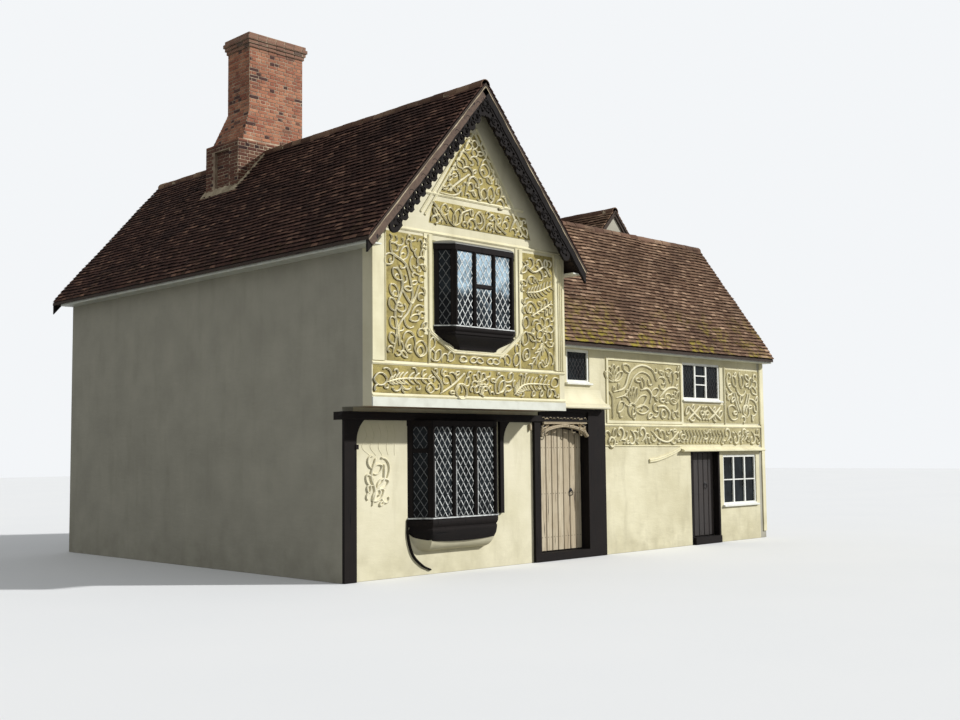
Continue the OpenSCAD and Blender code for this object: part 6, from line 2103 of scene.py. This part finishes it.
@dataclass
class LowerFront:
    """Plaster relief, rib and timber trim of the lower storey under the jetty."""

    def apron(self, middle: float, half: float, front_half: float, projection: float, top: float, drop: float) -> None:
        """Makes the dark apron under the lower window's sill, with a foot that bows down: a painted shadow, the
        crescent that the sill casts on the cove, drawn as black timber.

        At a share u from -1 to 1 along the canted plan, the foot hangs under the top by a
        quarter of the drop plus three quarters of it times the root of one minus u squared.

        Args:
            middle: X of the window's middle.
            half: Half its width at the wall.
            front_half: Half the width of its front.
            projection: How far the front stands out.
            top: Height of the apron's top.
            drop: Greatest depth of the apron.
        """
        u = np.linspace(-1, 1, 41)
        corners = np.array([[-half, 0], [-front_half, -projection], [front_half, -projection], [half, 0]])
        run = np.concatenate([[0], np.cumsum(np.linalg.norm(np.diff(corners, axis=0), axis=1))])
        at = run[-1] * (u + 1) / 2
        plan = np.stack([np.interp(at, run, corners[:, k]) for k in (0, 1)], 1)
        foot = top - drop * (0.25 + 0.75 * np.sqrt(1 - u**2))
        rings = np.zeros((1, 41, 5, 3))
        for point, (inset, share) in enumerate([(0.0, 0.0), (0.012, 0.55), (0.045, 1.0), (0.18, 1.0), (0.18, 0.0)]):
            rings[0, :, point, :2] = plan * [1 - 0.7 * inset, 1 - inset / projection] + [middle, 0.73]
            rings[0, :, point, 2] = top + share * (foot - top)
        parts = Gathered()
        parts.tubes(rings)
        parts.build("lower_oriel_sill_shadow", Finishes.black_beam, "black_timber")

    def build(self) -> None:
        """Builds the worn relief at the left, the painted sill shadow and the black rib under the cove."""
        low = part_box("lower_oriel_frame")[0]
        # painted shadow: the black crescent under the sill
        self.apron(2.42, 1.05, 0.75, 0.285, low.z + 0.004, 0.19)
        worn = Panel(0.73, 0.046, 0.034, Gathered(), None, [(1.14, 0.46, 0.99), (2.0, 0.46, 0.99)], 0.055, 6)
        worn.stem([(0.60, 1.18), (0.66, 1.42), (0.58, 1.66), (0.68, 1.94)])
        worn.stem([(0.66, 1.42), (0.84, 1.58), (0.86, 1.84)])
        worn.leaves([(0.62, 1.50, 128, 0.22, 0.5), (0.70, 1.48, 20, 0.26, 0.5), (0.60, 1.70, 30, 0.24, 0.5),
                     (0.60, 1.26, 35, 0.3, 0.45)])
        worn.grow(0.5, 0.16, 0.6)
        scratched = Relief(0.73, 0.016, 0.006, worn.parts)
        for k in range(5):
            scratched.stem([(0.42 + 0.16 * k, 2.50), (0.50 + 0.15 * k, 2.30), (0.40 + 0.17 * k, 2.12),
                            (0.56 + 0.13 * k, 1.98)], 1.0)
        worn.parts.build("lower_relief", Finishes.gable_render, "cream_render", smooth=80)
        rib = Relief(0.73, 0.045, 0.05)
        rib.stem([(1.34, 0.92), (1.36, 0.62), (1.46, 0.34), (1.66, 0.16), (1.86, 0.07)], 1.0)
        rib.parts.build("lower_oriel_rib", Finishes.black_timber, "black_timber", smooth=60)


# --- dressing of the solids


DRESS = {
    Finishes.floor_boards: "ground_floor wing_upper_floor range_upper_floor",
    # painted shade: the side and back walls take the darkened copy of the lime
    Finishes.shaded_flank_render: "wing_left_wall wing_right_wall wing_rear_gable range_right_gable range_rear_wall "
        "rear_wing_side_walls rear_wing_gables",
    Finishes.gable_render: "wing_lower_front_wall wing_front_gable lower_oriel_base door_apron",
    Finishes.moulding_render: "gable_mouldings range_mouldings",
    Finishes.range_render: "range_wall_over_door range_lower_wall_middle range_lower_wall_right range_upper_wall",
    Finishes.black_timber: "jetty_timbers lower_oriel_frame upper_oriel_frame front_door_frame side_door_frame "
        "front_verge_boards rear_verge_boards",
    Finishes.black_beam: "upper_oriel_base",
    # painted shade: the front door's leaf behind its boards is dark so that the gaps between the boards show as shade;
    # the side door takes the same finish
    Finishes.dark_door: "side_door front_door",
    Finishes.fascia_paint: "jetty_fascia eaves_boards",
    Finishes.white_paint: "range_window_frames rear_window_frames",
    Finishes.sky_glass: "upper_oriel_glass",
    Finishes.dark_glass: "lower_oriel_glass window_glass",
    Finishes.sheet_lead: "upper_oriel_cap",
    Finishes.rafter_oak: "wing_roof_left wing_roof_right range_roof_front range_roof_rear rear_wing_roof_left "
        "rear_wing_roof_right",
    Finishes.ridge_clay: "ridge_tiles",
    Finishes.stack_mortar: "chimney_stack chimney_head",
}


def dress_solids(nodes: dict[str, bpy.types.Object]) -> None:
    """Gives every solid of the frame the finish that DRESS lists for its node.

    Args:
        nodes: The frame's objects by name.
    """
    finishes = {name: finish for finish, names in DRESS.items() for name in names.split()}
    for name, solid in nodes.items():
        solid.data.materials.clear()
        solid.data.materials.append(finishes[name].material())
    LOG.info("dressed %d solids", len(nodes))


# --- camera, light and floor


@dataclass(frozen=True)
class Studio:
    """Camera at the photograph's place, soft light and a pale floor."""

    place: Triple = (-17.514, -18.7825, 2.034)
    right: Triple = (0.7074, -0.7069, -0.0100)
    up: Triple = (-0.0480, -0.0622, 0.9970)
    lens: float = 43.74
    sun_angles: Triple = (61.0, 0.0, 43.0)

    def camera(self) -> None:
        """Sets the camera from its right and up directions."""
        data = bpy.data.cameras.new("view")
        data.lens, data.sensor_width, data.sensor_fit = self.lens, 36.0, "HORIZONTAL"
        data.clip_end = 400
        made = bpy.data.objects.new("view", data)
        bpy.context.scene.collection.objects.link(made)
        right = Vector(self.right).normalized()
        back = right.cross(Vector(self.up)).normalized()
        up = back.cross(right)
        turned = Matrix((right, up, back)).transposed().to_4x4()
        turned.translation = Vector(self.place)
        made.matrix_world = turned
        bpy.context.scene.camera = made

    def light(self) -> None:
        """Sets an even sky and one broad sun from the front right."""
        data = bpy.data.lights.new("sun", "SUN")
        data.energy, data.angle = 4.0, math.radians(2)
        made = bpy.data.objects.new("sun", data)
        made.rotation_euler = [math.radians(a) for a in self.sun_angles]
        bpy.context.scene.collection.objects.link(made)
        world = bpy.data.worlds.new("sky")
        bpy.context.scene.world = world
        world.use_nodes = True
        tree = world.node_tree
        tree.nodes.clear()
        kinds = ("LightPath", "Math", "Math", "Background", "Background", "MixShader", "OutputWorld")
        rays, first, second, sky, shown, mix, output = (tree.nodes.new("ShaderNode" + kind) for kind in kinds)
        first.operation = second.operation = "MAXIMUM"
        for background, colour, strength in ((sky, (0.94, 0.97, 1.0, 1), 0.48), (shown, (0.90, 0.92, 0.94, 1), 1.0)):
            background.inputs["Color"].default_value = colour
            background.inputs["Strength"].default_value = strength
        for source, name, target, number in (
            (rays, "Is Camera Ray", first, 0), (rays, "Is Glossy Ray", first, 1), (first, 0, second, 0),
            (rays, "Is Transmission Ray", second, 1), (second, 0, mix, 0), (sky, 0, mix, 1), (shown, 0, mix, 2),
            (mix, 0, output, 0),
        ):
            tree.links.new(source.outputs[name], target.inputs[number])

    def floor(self) -> None:
        """Lays a plain pale floor that throws only a little light back on the house."""
        data = bpy.data.meshes.new("studio_floor")
        reach = 90.0
        corners = [(reach * x, reach * y, -0.004) for x, y in ((-1, -1), (1, -1), (1, 1), (-1, 1))]
        data.from_pydata(corners, [], [(0, 1, 2, 3)])
        made = bpy.data.objects.new("studio_floor", data)
        bpy.context.scene.collection.objects.link(made)
        shader = Shader("studio_floor")
        tone = shader.mix(shader.noise(0.3, 2), linear(224, 225, 225), linear(229, 229, 228))
        thrown = shader.node("LightPath", {}).outputs["Is Diffuse Ray"]
        tone = shader.mix(thrown, tone, linear(128, 128, 124))
        data.materials.append(shader.finish(tone, 0.9, None))

    def build(self) -> None:
        """Builds the studio."""
        bpy.context.scene.view_settings.view_transform = "Standard"
        self.camera()
        self.light()
        self.floor()


def main() -> None:
    logging.basicConfig(level=logging.INFO, format="%(name)s: %(message)s")
    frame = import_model()
    Studio().build()
    dress_solids(frame["nodes"])
    Roofs().build()
    Verges().build()
    Stack().build()
    GableFront().build()
    CantedWindow("upper_oriel", PLAN.oriel_middle, 0.0, 0.954, 0.68, 0.235, 4.07, 5.32, 4.735, True).build()
    CantedWindow("lower_oriel", 2.42, 0.73, 1.06, 0.76, 0.29, 0.94, 2.46, 2.03, False).build()
    RangeFront().build()
    LowerFront().build()
    Doorways().build()


if __name__ == "__main__":
    main()
